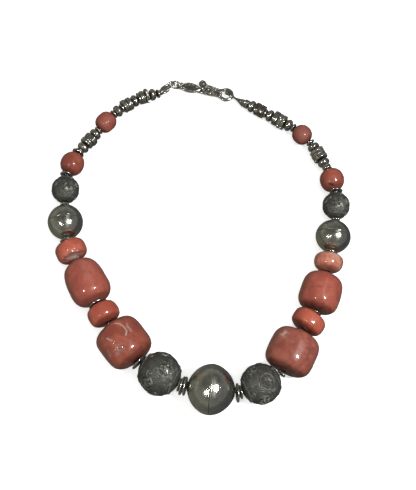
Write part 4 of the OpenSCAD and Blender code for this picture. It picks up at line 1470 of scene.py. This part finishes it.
    def seed(self, item: Item) -> Shape:
        """A tiny ring of grains about a tube."""
        r, h = item.diameter / 2, item.length / 2
        grain = h * 0.96
        wall, top, bore = r - grain * 1.2, h * 0.7, SPACER_BORE_R
        core = revolved(np.array([(wall, -top), (wall, top), (bore, top), (bore, -top)]), 32)
        grains = grown(self.growths.grains, {"Count": self.seed_grains, "Ring Radius": r - grain,
                                             "Grain Radius": grain, "Material": self.carrier})
        return Shape.joined([core.marked(recess=0.6, rim=0.0), grains.marked(recess=0.0, rim=0.45)])

    def make(self, item: Item, seed: int) -> Shape:
        """Makes one spacer.

        Args:
            item: The spacer.
            seed: Seed of its dents and of its turn about the hole.

        Returns:
            The spacer, turned about its hole, and slack on the thread if it is a disc.
        """
        makers = {
            Kind.BALL: lambda: self.ball(item, seed),
            Kind.SEED: lambda: self.seed(item),
            Kind.RING: lambda: self.ring(item),
            Kind.PLATE: lambda: self.washer(item),
            Kind.WASHER: lambda: self.washer(item),
            Kind.DISC: lambda: self.disc(item),
            Kind.GEAR: lambda: self.gear(item),
            Kind.TILE: lambda: self.block(item, True),
            Kind.BLOCK: lambda: self.block(item, False),
        }
        about, tilt_x, tilt_y, up, across = np.random.default_rng(seed).uniform(-1, 1, 5)
        made = makers[item.kind]().turned(turn("z", self.turn * about))
        if item.kind in (Kind.BALL, Kind.SEED, Kind.RING):
            return made
        return made.turned(turn("x", self.tilt * tilt_x) @ turn("y", self.tilt * tilt_y),
                           (-self.sag * abs(up), self.sway * across, 0))


@dataclass
class SpacerRun:
    """The loose spacers between two named beads of a half strand."""

    name: str
    strand: Strand
    first: str
    last: str

    def build(self, maker: SpacerMaker, material: Material) -> None:
        """Makes, dresses and settles the run."""
        strand = self.strand
        between = range(strand.index(self.first) + 1, strand.index(self.last))
        Shape.joined([maker.make(strand.items[i], 100 + i).carried(strand.places[i])
                      for i in between if not strand.items[i].name]).settle(
            self.name, "silver", "spacer_silver", material, 35.0)


@dataclass
class Thread:
    """The waxed thread through every bead."""

    right: Strand
    left: Strand
    radius: float = 0.4
    tail: float = 1.0

    def build(self, growths: Growths, material: Material) -> None:
        """Makes, dresses and settles the thread."""
        left, right = self.left.joints(), self.right.joints()
        path = np.array([left[-1] + self.left.places[-1].direction() * self.tail, *reversed(left), *right,
                         right[-1] + self.right.places[-1].direction() * self.tail])
        grown(growths.rope, {"Strands": 3, "Strand Radius": self.radius * 0.5, "Offset": self.radius * 0.48,
                             "Turns per mm": 0.35, "Step": 0.6, "Material": material}, path).settle(
            "thread", "cord", "thread", material)


def smoothed(values: np.ndarray, window: int, mode: str, **padding: str) -> np.ndarray:
    """Running mean over an odd number of values, whose ends are padded as numpy's pad says."""
    return np.convolve(np.pad(values, window // 2, mode, **padding), np.full(window, 1 / window), "valid")


@dataclass
class Clasp:
    """The hook with its leaf, and the eye and the loop that it joins."""

    right: Strand
    left: Strand
    hook_r: float = 0.6
    wire_r: float = 0.45
    bend_r: float = 3.2
    bend_end: float = 130.0
    eye_r: float = 2.0
    eye_lean: float = 55.0
    loop_r: float = 1.3
    loop_len: float = 9.4
    leaf_half_w: float = 2.9
    leaf_plate: float = 0.5
    leaf_steps: int = 40
    leaf_grains: int = 7
    tip_r: float = 2.0
    tip_out: float = 3.7
    link_play: float = 0.25
    bend_play: float = 0.25
    leaf_end_back: float = 17.3
    tip_back: float = 16.9
    leaf_start: float = 2.2
    arm_foot: tuple[float, float] = (-4.0, 1.95)
    arm_steps: int = 160
    shank_foot: tuple[float, float] = (-4.6, -1.6)
    shank_edges: tuple[Point, ...] = (
        (15.4, -1.9, 1.2), (13.6, -2.1, 1.3), (12.6, -2.2, 1.5), (11.4, -2.3, 2.2), (9.4, -2.5, 2.0),
        (6.0, -2.4, 1.4), (3.6, -2.3, 1.1), (2.6, -2.2, 0.7))
    shank_steps: int = 60
    shank_sides: int = 24
    rosettes: tuple[Point, ...] = ((11.7, -0.5, 1.15), (9.3, -0.25, 1.2), (7.1, -0.7, 1.0))
    grains: tuple[Point, ...] = (
        (5.3, -1.1, 0.5), (3.0, -0.95, 0.95), (12.9, 0.2, 0.3), (10.4, 1.1, 0.3), (8.2, 0.9, 0.3))
    cap_len: float = 4.6
    drawn_wire_r: float = 0.5
    eye_wire_r: float = 0.46
    swell_width: float = 0.75
    rim_rs: tuple[float, float] = (0.48, 0.68)
    pin_r: float = 0.02
    crease: float = 45.0

    def __post_init__(self) -> None:
        """Finds where the loop, the two eyes and the hook lie."""
        end, at = self.right.items[-1], self.right.places[-1]
        right_eye = np.array(at.middle[:2]) + flat(at.heading) * (end.length / 2 + self.eye_r)
        start, spot = self.left.items[-1], self.left.places[-1]
        self.round_z = self.loop_len - start.length / 2 - self.loop_r
        loop_middle = np.array(spot.middle[:2]) + flat(spot.heading) * self.round_z
        line = right_eye - loop_middle
        self.heading = math.degrees(math.atan2(line[1], line[0]))
        inside = self.loop_r + self.eye_r - 2 * self.wire_r - self.link_play
        self.left_eye = loop_middle + flat(self.heading) * inside
        length = float(np.linalg.norm(right_eye - self.left_eye)) + (
            self.eye_r - self.wire_r - self.hook_r - self.bend_play)
        self.bend_x = length - self.bend_r
        self.leaf_end = length - self.leaf_end_back
        self.tip_x = length - self.tip_back

    def _eye(self, outwards: float, inwards: float) -> Shape:
        """A leaning ring of wire with a soldered joint, swollen on the side away from it."""
        ring = wire_ring(self.eye_r, self.eye_wire_r, 72, 16)
        angle = np.arctan2(ring.points[:, 1], ring.points[:, 0])
        way = columns(np.cos(angle), np.sin(angle), 0.0)
        share = bell(angle, self.swell_width)
        middle = self.eye_r + (outwards - inwards) / 2 * share
        thicker = 1 + (outwards + inwards) / 2 * share / self.eye_wire_r
        ring.points = way * middle[:, None] + (ring.points - self.eye_r * way) * thicker[:, None]
        ring.values = {"recess": 0.5 * bell(np.abs(angle) - math.pi, 0.3), "rim": np.full(len(angle), 0.35)}
        return ring.turned(turn("x", self.eye_lean))

    def _leaf(self, growths: Growths, carrier: Material) -> list[Shape]:
        """The dark plate, its plain and twisted rims and a line of grains down its middle."""
        shares = np.linspace(0.03, 0.97, self.leaf_steps)
        x = self.leaf_start + (self.leaf_end - self.leaf_start) * shares
        half = self.leaf_half_w * np.sin(math.pi * shares) ** 0.6
        low, high = -self.hook_r, -self.hook_r + self.leaf_plate
        edge = np.array([(0.0, low), (0.9, low), (0.96, low + 0.15), (0.96, high - 0.1), (0.5, high),
                         (0.0, high - 0.05)])
        section = np.concatenate([edge, edge[-2:0:-1] * (-1, 1)])
        sides, last = len(section), (len(x) - 1) * len(section)
        points = columns(x[:, None], half[:, None] * section[:, 0], section[:, 1]).reshape(-1, 3)
        ends = [tuple(reversed(range(sides))), tuple(range(last, last + sides))]
        shapes = [Shape(points, grid_faces(len(x), sides, False) + ends).marked(recess=0.75, rim=0.0)]
        # Painted sheen: the rim on the lamp side is brighter than the far one, over rubbed wear on both.
        for side, rim_r, wear_and_painted_sheen in zip((1, -1), self.rim_rs, (0.3, 0.8)):
            outer, inner = (columns(x, side * np.maximum(half - inset, 0.05), 0.1)
                            for inset in (rim_r - 0.05, 2 * rim_r + 0.16))
            wire = tube(outer, rim_r * (1 + 0.05 * wave_field(outer, 3, 3.0, 2)), 16)
            shapes.append(wire.marked(recess=0.0, rim=wear_and_painted_sheen))
            rope = grown(growths.rope, {"Strands": 2, "Strand Radius": 0.16, "Offset": 0.13, "Turns per mm": 0.8,
                                        "Step": 0.12, "Material": carrier}, inner)
            shapes.append(rope.marked(recess=0.0, rim=0.15))
        for share in np.linspace(0.2, 0.8, self.leaf_grains):
            spot = (self.leaf_start + (self.leaf_end - self.leaf_start) * share, 0, high)
            shapes.append(ball(0.22, 2, spot).marked(recess=0.2, rim=0.1))
        return shapes

    def _shank(self) -> list[Shape]:
        """The flat shank with a wire along each edge and rosettes and grains on it."""
        way, low, high = np.array(self.shank_edges).T
        x = np.linspace(-way[0], -way[-1], self.shank_steps)
        low, high = (smoothed(np.interp(x, -way, values), 13, "edge") for values in (low, high))
        middle, half = (low + high) / 2, np.maximum((high - low) / 2, 0.3)
        x = x + self.bend_x
        angle = lap(self.shank_sides)
        across, up = (np.sign(part) * np.abs(part) ** 0.5 for part in (np.cos(angle), np.sin(angle)))
        rings = columns(x[:, None], middle[:, None] + (half - 0.2)[:, None] * across, 0.42 * up)
        out = [capped(rings, [(x[0], middle[0], 0.0), (x[-1], middle[-1], 0.0)]).marked(recess=0.85, rim=0.0)]
        # Painted sheen: the edge wire on the lamp side is brighter than the other, over rubbed wear on both.
        for side, radius, wear_and_painted_sheen in ((-1, 0.55, 0.6), (1, 0.45, 0.15)):
            path = columns(x, middle + side * (half - radius + 0.08), 0.1)
            wire = tube(path, radius * (1 + 0.05 * wave_field(path, 7, 2.5, 2)), 14)
            out.append(wire.marked(recess=0.0, rim=wear_and_painted_sheen))
        for back, side, radius in self.rosettes:
            at = self.bend_x - back
            out.append(wire_ring(radius, 0.24, 40, 10).moved(at, side, 0.5).marked(recess=0.0, rim=0.4))
            out.append(wire_ring(radius * 0.52, 0.18, 32, 10).moved(at, side, 0.5).marked(recess=0.05, rim=0.25))
            out.append(ball(radius * 0.24, 3, (at, side, 0.62)).marked(recess=0.0, rim=0.6))
        for back, side, radius in self.grains:
            out.append(ball(radius, 4, (self.bend_x - back, side, 0.75 - 0.3 * radius)).marked(recess=0.0, rim=0.8))
        return out

    def _arm(self) -> list[Shape]:
        """Round bend, return arm and the dimpled ball on the tip."""
        a = np.radians(np.linspace(-self.bend_end, self.bend_end, 90))
        corners = np.concatenate([
            [self.shank_foot], (self.bend_r - 0.13) * columns(np.cos(a), np.sin(a)), [self.arm_foot],
            [(self.tip_x - self.bend_x, self.tip_out)]])
        run = np.concatenate([[0.0], np.cumsum(np.linalg.norm(np.diff(corners, axis=0), axis=1))])
        at = np.linspace(0, run[-1], self.arm_steps)
        x, y = (smoothed(np.interp(at, run, values), 9, "reflect", reflect_type="odd") for values in corners.T)
        path = columns(x + self.bend_x, y, 0.0)
        radii = self.hook_r * (1.14 + 0.04 * wave_field(path, 5, 5.0, 2))
        radii += 0.22 * step(path[:, 0], self.bend_x - 3.5, self.bend_x - 1.5)
        wire = tube(path, radii, 18).marked(recess=0.05)
        # Painted highlight: the wire is brightened along its side toward the lamps, over a little rubbed wear
        # everywhere.
        wire.values["rim"] = 0.2 + 0.6 * step(-wire.points[:, 1], 0.5, 2.6)
        knob = ball(self.tip_r, 5)
        away = np.linalg.norm(knob.points[:, :2] - (-0.15, 0.0), axis=1)
        top = knob.points[:, 2] > 0
        knob.points[:, 2] -= (0.75 * bell(away, 0.75) + 0.2 * bell(away - 1.35, 0.16)) * top
        knob.values = {"recess": (0.95 * bell(away, 0.62) + 0.8 * bell(away - 1.35, 0.2)) * top,
                       "rim": 0.35 * bell(away - 1.0, 0.2) * top}
        collar = wire_ring(0.75, 0.22, 40, 10).turned(
            turn("y", 90), (self.tip_x + self.tip_r - 0.1, self.tip_out - 0.25, 0))
        return [wire, knob.moved(self.tip_x, self.tip_out, 0), collar.marked(recess=0.2, rim=0.2)]

    def build_hook(self, growths: Growths, material: Material) -> None:
        """Makes, dresses and settles the hook."""
        neck = tube(columns(np.linspace(self.eye_r - 0.1, self.leaf_start + 1.5, 10), 0, 0),
                    0.6 + 0.5 * np.sin(np.linspace(0.3, math.pi, 10)), 16).marked(recess=0.2, rim=0.2)
        shoulders = [ball(0.8, 3, (self.leaf_start + 0.8, side * 1.35, 0.05)).marked(recess=0.1, rim=0.3)
                     for side in (-1, 1)]
        shapes = [self._eye(0.6, 1.25), neck, *shoulders, *self._leaf(growths, material), *self._shank(),
                  *self._arm()]
        Shape.joined(shapes).turned(turn("z", self.heading), (*self.left_eye, CLASP_Z)).settle(
            "clasp_hook", "silver", "clasp_silver", material, self.crease)

    def build_end_eye(self, growths: Growths, material: Material) -> None:
        """Makes, dresses and settles the right half's cap, neck and eye."""
        item, place = self.right.items[-1], self.right.places[-1]
        half, radius, pin = item.length / 2, item.diameter / 2, self.pin_r
        share = np.linspace(0, 1, 20)
        cone = revolved(np.concatenate([
            columns(radius + (0.6 - radius) * share, self.cap_len * share - half),
            [(0.6, half - 0.1), (0.3, half), (pin, half), (pin, 1.4 - half), (0.8, 1.4 - half), (0.8, -half)]]), 48)
        wound = grown(growths.coil, {"Turns": 3.0, "Coil Radius": radius - 0.24, "Length": 1.5, "Wire Radius": 0.26,
                                     "Material": material}).moved(0, 0, 0.3 - half)
        wound.points[:, :2] *= (1 - 0.28 * step(wound.points[:, 2], -half, 2.2 - half))[:, None]
        eye = self._eye(1.15, 0.0).turned(turn("y", -90), (0, 0, half + self.eye_r))
        shapes = [cone.marked(recess=0.1, rim=0.12), wound.marked(recess=0.1, rim=0.2), eye]
        Shape.joined(shapes).carried(place).settle("right_end_eye", "silver", "clasp_silver", material, self.crease)

    def build_end_loop(self, growths: Growths, material: Material) -> None:
        """Makes, dresses and settles the left half's crimp and loop."""
        item, place = self.left.items[-1], self.left.places[-1]
        half, radius, pin, bend = item.length / 2, item.diameter / 2, self.pin_r, self.loop_r

        def dips(z: np.ndarray) -> np.ndarray:
            """Depth of the crimp's grooves at a height, from 0 to 1."""
            return np.abs(np.sin(2.5 * math.pi * (z + half) / item.length))

        z = np.linspace(-half, half, 31)
        crimp = revolved(np.concatenate([
            columns(radius - 0.1 * dips(z), z),
            [(radius - 0.4, half), (pin, half), (pin, 1.4 - half), (0.8, 1.4 - half), (0.8, -half)]]), 48)
        sunk = dips(crimp.points[:, 2])
        crimp.values = {"recess": 0.5 * sunk, "rim": 0.35 * (1 - sunk)}
        a = np.radians(np.linspace(0, 180, 30))
        leg = np.linspace(half - 0.5, self.round_z, 14)[:-1]
        path = np.concatenate([columns(0, bend, leg), columns(0, bend * np.cos(a), self.round_z + bend * np.sin(a)),
                               columns(0, -bend, leg[::-1])])
        loop = tube(path, self.drawn_wire_r, 16).marked(recess=0.0, rim=0.45)
        bound = grown(growths.coil, {"Turns": 6.0, "Coil Radius": 1.0, "Length": 2.6, "Wire Radius": 0.22,
                                     "Material": material}).turned(np.diag([0.85, 1.85, 1.0]), (0, 0, half + 0.1))
        core = tube(columns(0, 0, np.linspace(half, self.round_z - 1.3, 12)), bend - 0.45, 14)
        shapes = [crimp, loop, core.marked(recess=0.85, rim=0.0), bound.marked(recess=0.2, rim=0.35)]
        Shape.joined(shapes).carried(place).settle("left_end_loop", "silver", "clasp_silver", material, self.crease)


@dataclass(frozen=True)
class Lamp:
    """A round soft lamp aimed at the middle of the scene, in metres and watts."""

    name: str
    spot: Point
    size: float
    power: float
    in_gloss: bool = True

    def build(self) -> None:
        """Adds the lamp to the scene."""
        data = bpy.data.lights.new(self.name, "AREA")
        data.shape = "DISK"
        data.size = self.size
        data.energy = self.power
        lamp = bpy.data.objects.new(self.name, data)
        lamp.location = self.spot
        lamp.rotation_euler = (-Vector(self.spot)).to_track_quat("-Z", "Y").to_euler()
        lamp.visible_glossy = self.in_gloss
        bpy.context.scene.collection.objects.link(lamp)


@dataclass
class Studio:
    """Floor, lamps, surroundings and camera."""

    centre: np.ndarray
    elevation: float = 70.0
    distance: float = 0.45
    lens: float = 66.12
    aim_off: tuple[float, float] = (-1.4, 74.9)
    floor_half: float = 3.0
    lamps: tuple[Lamp, ...] = (
        Lamp("right_lamp", (0.37, -0.18, 0.65), 0.1, 4.2),
        Lamp("left_lamp", (-0.40, -0.35, 0.64), 0.07, 1.1),
        Lamp("ceiling", (0.0, 0.1, 1.4), 1.6, 8.5, False),
    )

    def _floor(self) -> None:
        """A plain pale floor, left out of the silver's reflections."""
        half = self.floor_half
        corners = [(-half, -half, 0), (half, -half, 0), (half, half, 0), (-half, half, 0)]
        mesh = bpy.data.meshes.new("floor")
        mesh.from_pydata(corners, [], [(0, 1, 2, 3)])
        material, sheet, shader = new_material("pale_floor")
        cloud = sheet.noise(sheet.spot(), 9.0, 2.0)
        seen = sheet.add("ShaderNodeLightPath")["Is Camera Ray"]
        sheet.feed(shader, {
            "Base Color": sheet.blend(cloud, (0.9, 0.9, 0.9), (0.92, 0.92, 0.92)), "Roughness": 0.9,
            "Specular IOR Level": 0.1, "Emission Color": (1.0, 1.0, 1.0),
            "Emission Strength": sheet.times(seen, 0.6)})
        mesh.materials.append(material)
        floor = bpy.data.objects.new("floor", mesh)
        floor.visible_glossy = False
        floor.visible_diffuse = False
        bpy.context.scene.collection.objects.link(floor)

    @staticmethod
    def _surroundings() -> None:
        """A dim room: dark above and below, paler towards the horizon, with a tall soft light on the right."""
        world = bpy.data.worlds.new("dim_room")
        world.use_nodes = True
        sheet = Sheet(world.node_tree)
        ground = next(node for node in world.node_tree.nodes if node.type == "BACKGROUND")
        way = sheet.add("ShaderNodeTexCoord")["Generated"]
        parts = sheet.add("ShaderNodeSeparateXYZ", {0: way})
        side = sheet.ramp(parts[0], 0.9, -0.9)
        horizon = sheet.blend(side, (0.19, 0.19, 0.2), (0.29, 0.285, 0.25))
        things = sheet.ramp(sheet.noise(way, 2.3, 2.0, 0.6), 0.4, 0.62)
        upper = sheet.blend(things, (0.045, 0.047, 0.045), (0.15, 0.15, 0.135))
        room = sheet.blend(sheet.ramp(parts[2], -0.15, 0.9), horizon, upper)
        aside = sheet.maths("ABSOLUTE", sheet.less(parts[0], 0.36))
        width = sheet.less(1.0, sheet.ramp(aside, 0.03, 0.1))
        height = sheet.times(sheet.ramp(parts[2], 0.45, 0.85), sheet.ramp(parts[1], 0.7, 0.2))
        lit = sheet.blend(sheet.times(width, height), room, (1.1, 1.1, 1.05))
        below = sheet.blend(side, (0.075, 0.08, 0.085), (0.14, 0.14, 0.115))
        sheet.feed(ground, {0: sheet.blend(sheet.ramp(parts[2], -0.12, 0.02), below, lit)})
        bpy.context.scene.world = world

    def build(self) -> None:
        """Adds everything round the necklace."""
        self._floor()
        self._surroundings()
        for lamp in self.lamps:
            lamp.build()
        aim = Vector((self.centre[0] + self.aim_off[0], self.centre[1] + self.aim_off[1], 0)) * MM
        lean = math.radians(self.elevation)
        eye = aim + Vector((0, -math.cos(lean), math.sin(lean))) * self.distance
        data = bpy.data.cameras.new("camera")
        data.lens = self.lens
        data.sensor_width = 36
        camera = bpy.data.objects.new("camera", data)
        camera.location = eye
        camera.rotation_euler = (aim - eye).to_track_quat("-Z", "Y").to_euler()
        bpy.context.scene.collection.objects.link(camera)
        bpy.context.scene.camera = camera
        bpy.context.scene.view_settings.view_transform = "Standard"
        bpy.context.scene.view_settings.look = "None"


def cad_middle(node: str) -> np.ndarray:
    """Middle of a CAD node's box, in millimetres."""
    low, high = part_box(node)
    return (np.array(low) + np.array(high)) / 2 / MM


def report_places(strands: Sequence[Strand]) -> None:
    """Logs how far each bead's computed middle is from its CAD node's, in millimetres."""
    far = [np.linalg.norm(cad_middle(item.name) - np.array(place.middle))
           for strand in strands for item, place in zip(strand.items, strand.places)
           if item.name and item.kind is not Kind.END]
    log.info("worst distance between a bead and its CAD node: %.2f mm", max(far))


def main() -> None:
    """Builds the sub-assemblies in order and reports each piece."""
    logging.basicConfig(level=logging.INFO, format="%(name)s: %(message)s")
    origin = cad_middle("centre_bead")[:2]
    right = Strand("right", RIGHT_ROWS, CENTRE_HEADING, origin)
    left = Strand("left", LEFT_ROWS, CENTRE_HEADING + 180, origin)
    report_places((right, left))

    effects = Effects()
    coral = {finish.name: finish.material(effects)
             for finish in (ORANGE, BRICK, CLOUDED, ROSE, SALMON, DUSKY, MATT)}
    polished, filigree, small_silver, clasp_silver = (
        finish.material(effects) for finish in (POLISHED_SILVER, FILIGREE_SILVER, SPACER_SILVER, CLASP_SILVER))
    waxed = WAXED_THREAD.material()
    growths = Growths()

    for strand, seed in ((right, 17), (left, 19)):
        for item, place in zip(strand.items, strand.places):
            if item.name in CORAL_LOOKS:
                CoralBead(item, place, CORAL_LOOKS[item.name]).build(coral)
        SilverBall(*strand.find(f"{strand.side}_silver_ball"), seed).build(polished)
    SilverBall(*right.find("centre_bead"), seed=13, dents=0.09, seam_fade=0.85).build(polished)
    # The last number brightens the first medallion: rubbed wear and a painted highlight.
    for strand, run, angle, stagger, wear_and_painted_light in (
        (left, "front", 189, -15, 0.95), (right, "front", 187, 13, 0.3),
        (left, "side", 191, -14, 0.4), (right, "side", 174, -14, 0.6),
    ):
        FiligreeBall(*strand.find(f"{strand.side}_{run}_filigree"), angle, stagger, growths, wear_and_painted_light).build(filigree)

    maker = SpacerMaker(growths, small_silver)
    for strand in (right, left):
        side = strand.side
        stops = ("centre_bead", f"{side}_round_coral", f"{side}_small_coral", strand.items[-1].name)
        for run, first, last in zip(("front", "lower", "upper"), stops, stops[1:]):
            SpacerRun(f"{side}_{run}_spacers", strand, first, last).build(maker, small_silver)

    Thread(right, left).build(growths, waxed)
    clasp = Clasp(right, left)
    clasp.build_end_eye(growths, clasp_silver)
    clasp.build_end_loop(growths, clasp_silver)
    clasp.build_hook(growths, clasp_silver)
    Studio(origin).build()


if __name__ == "__main__":
    main()
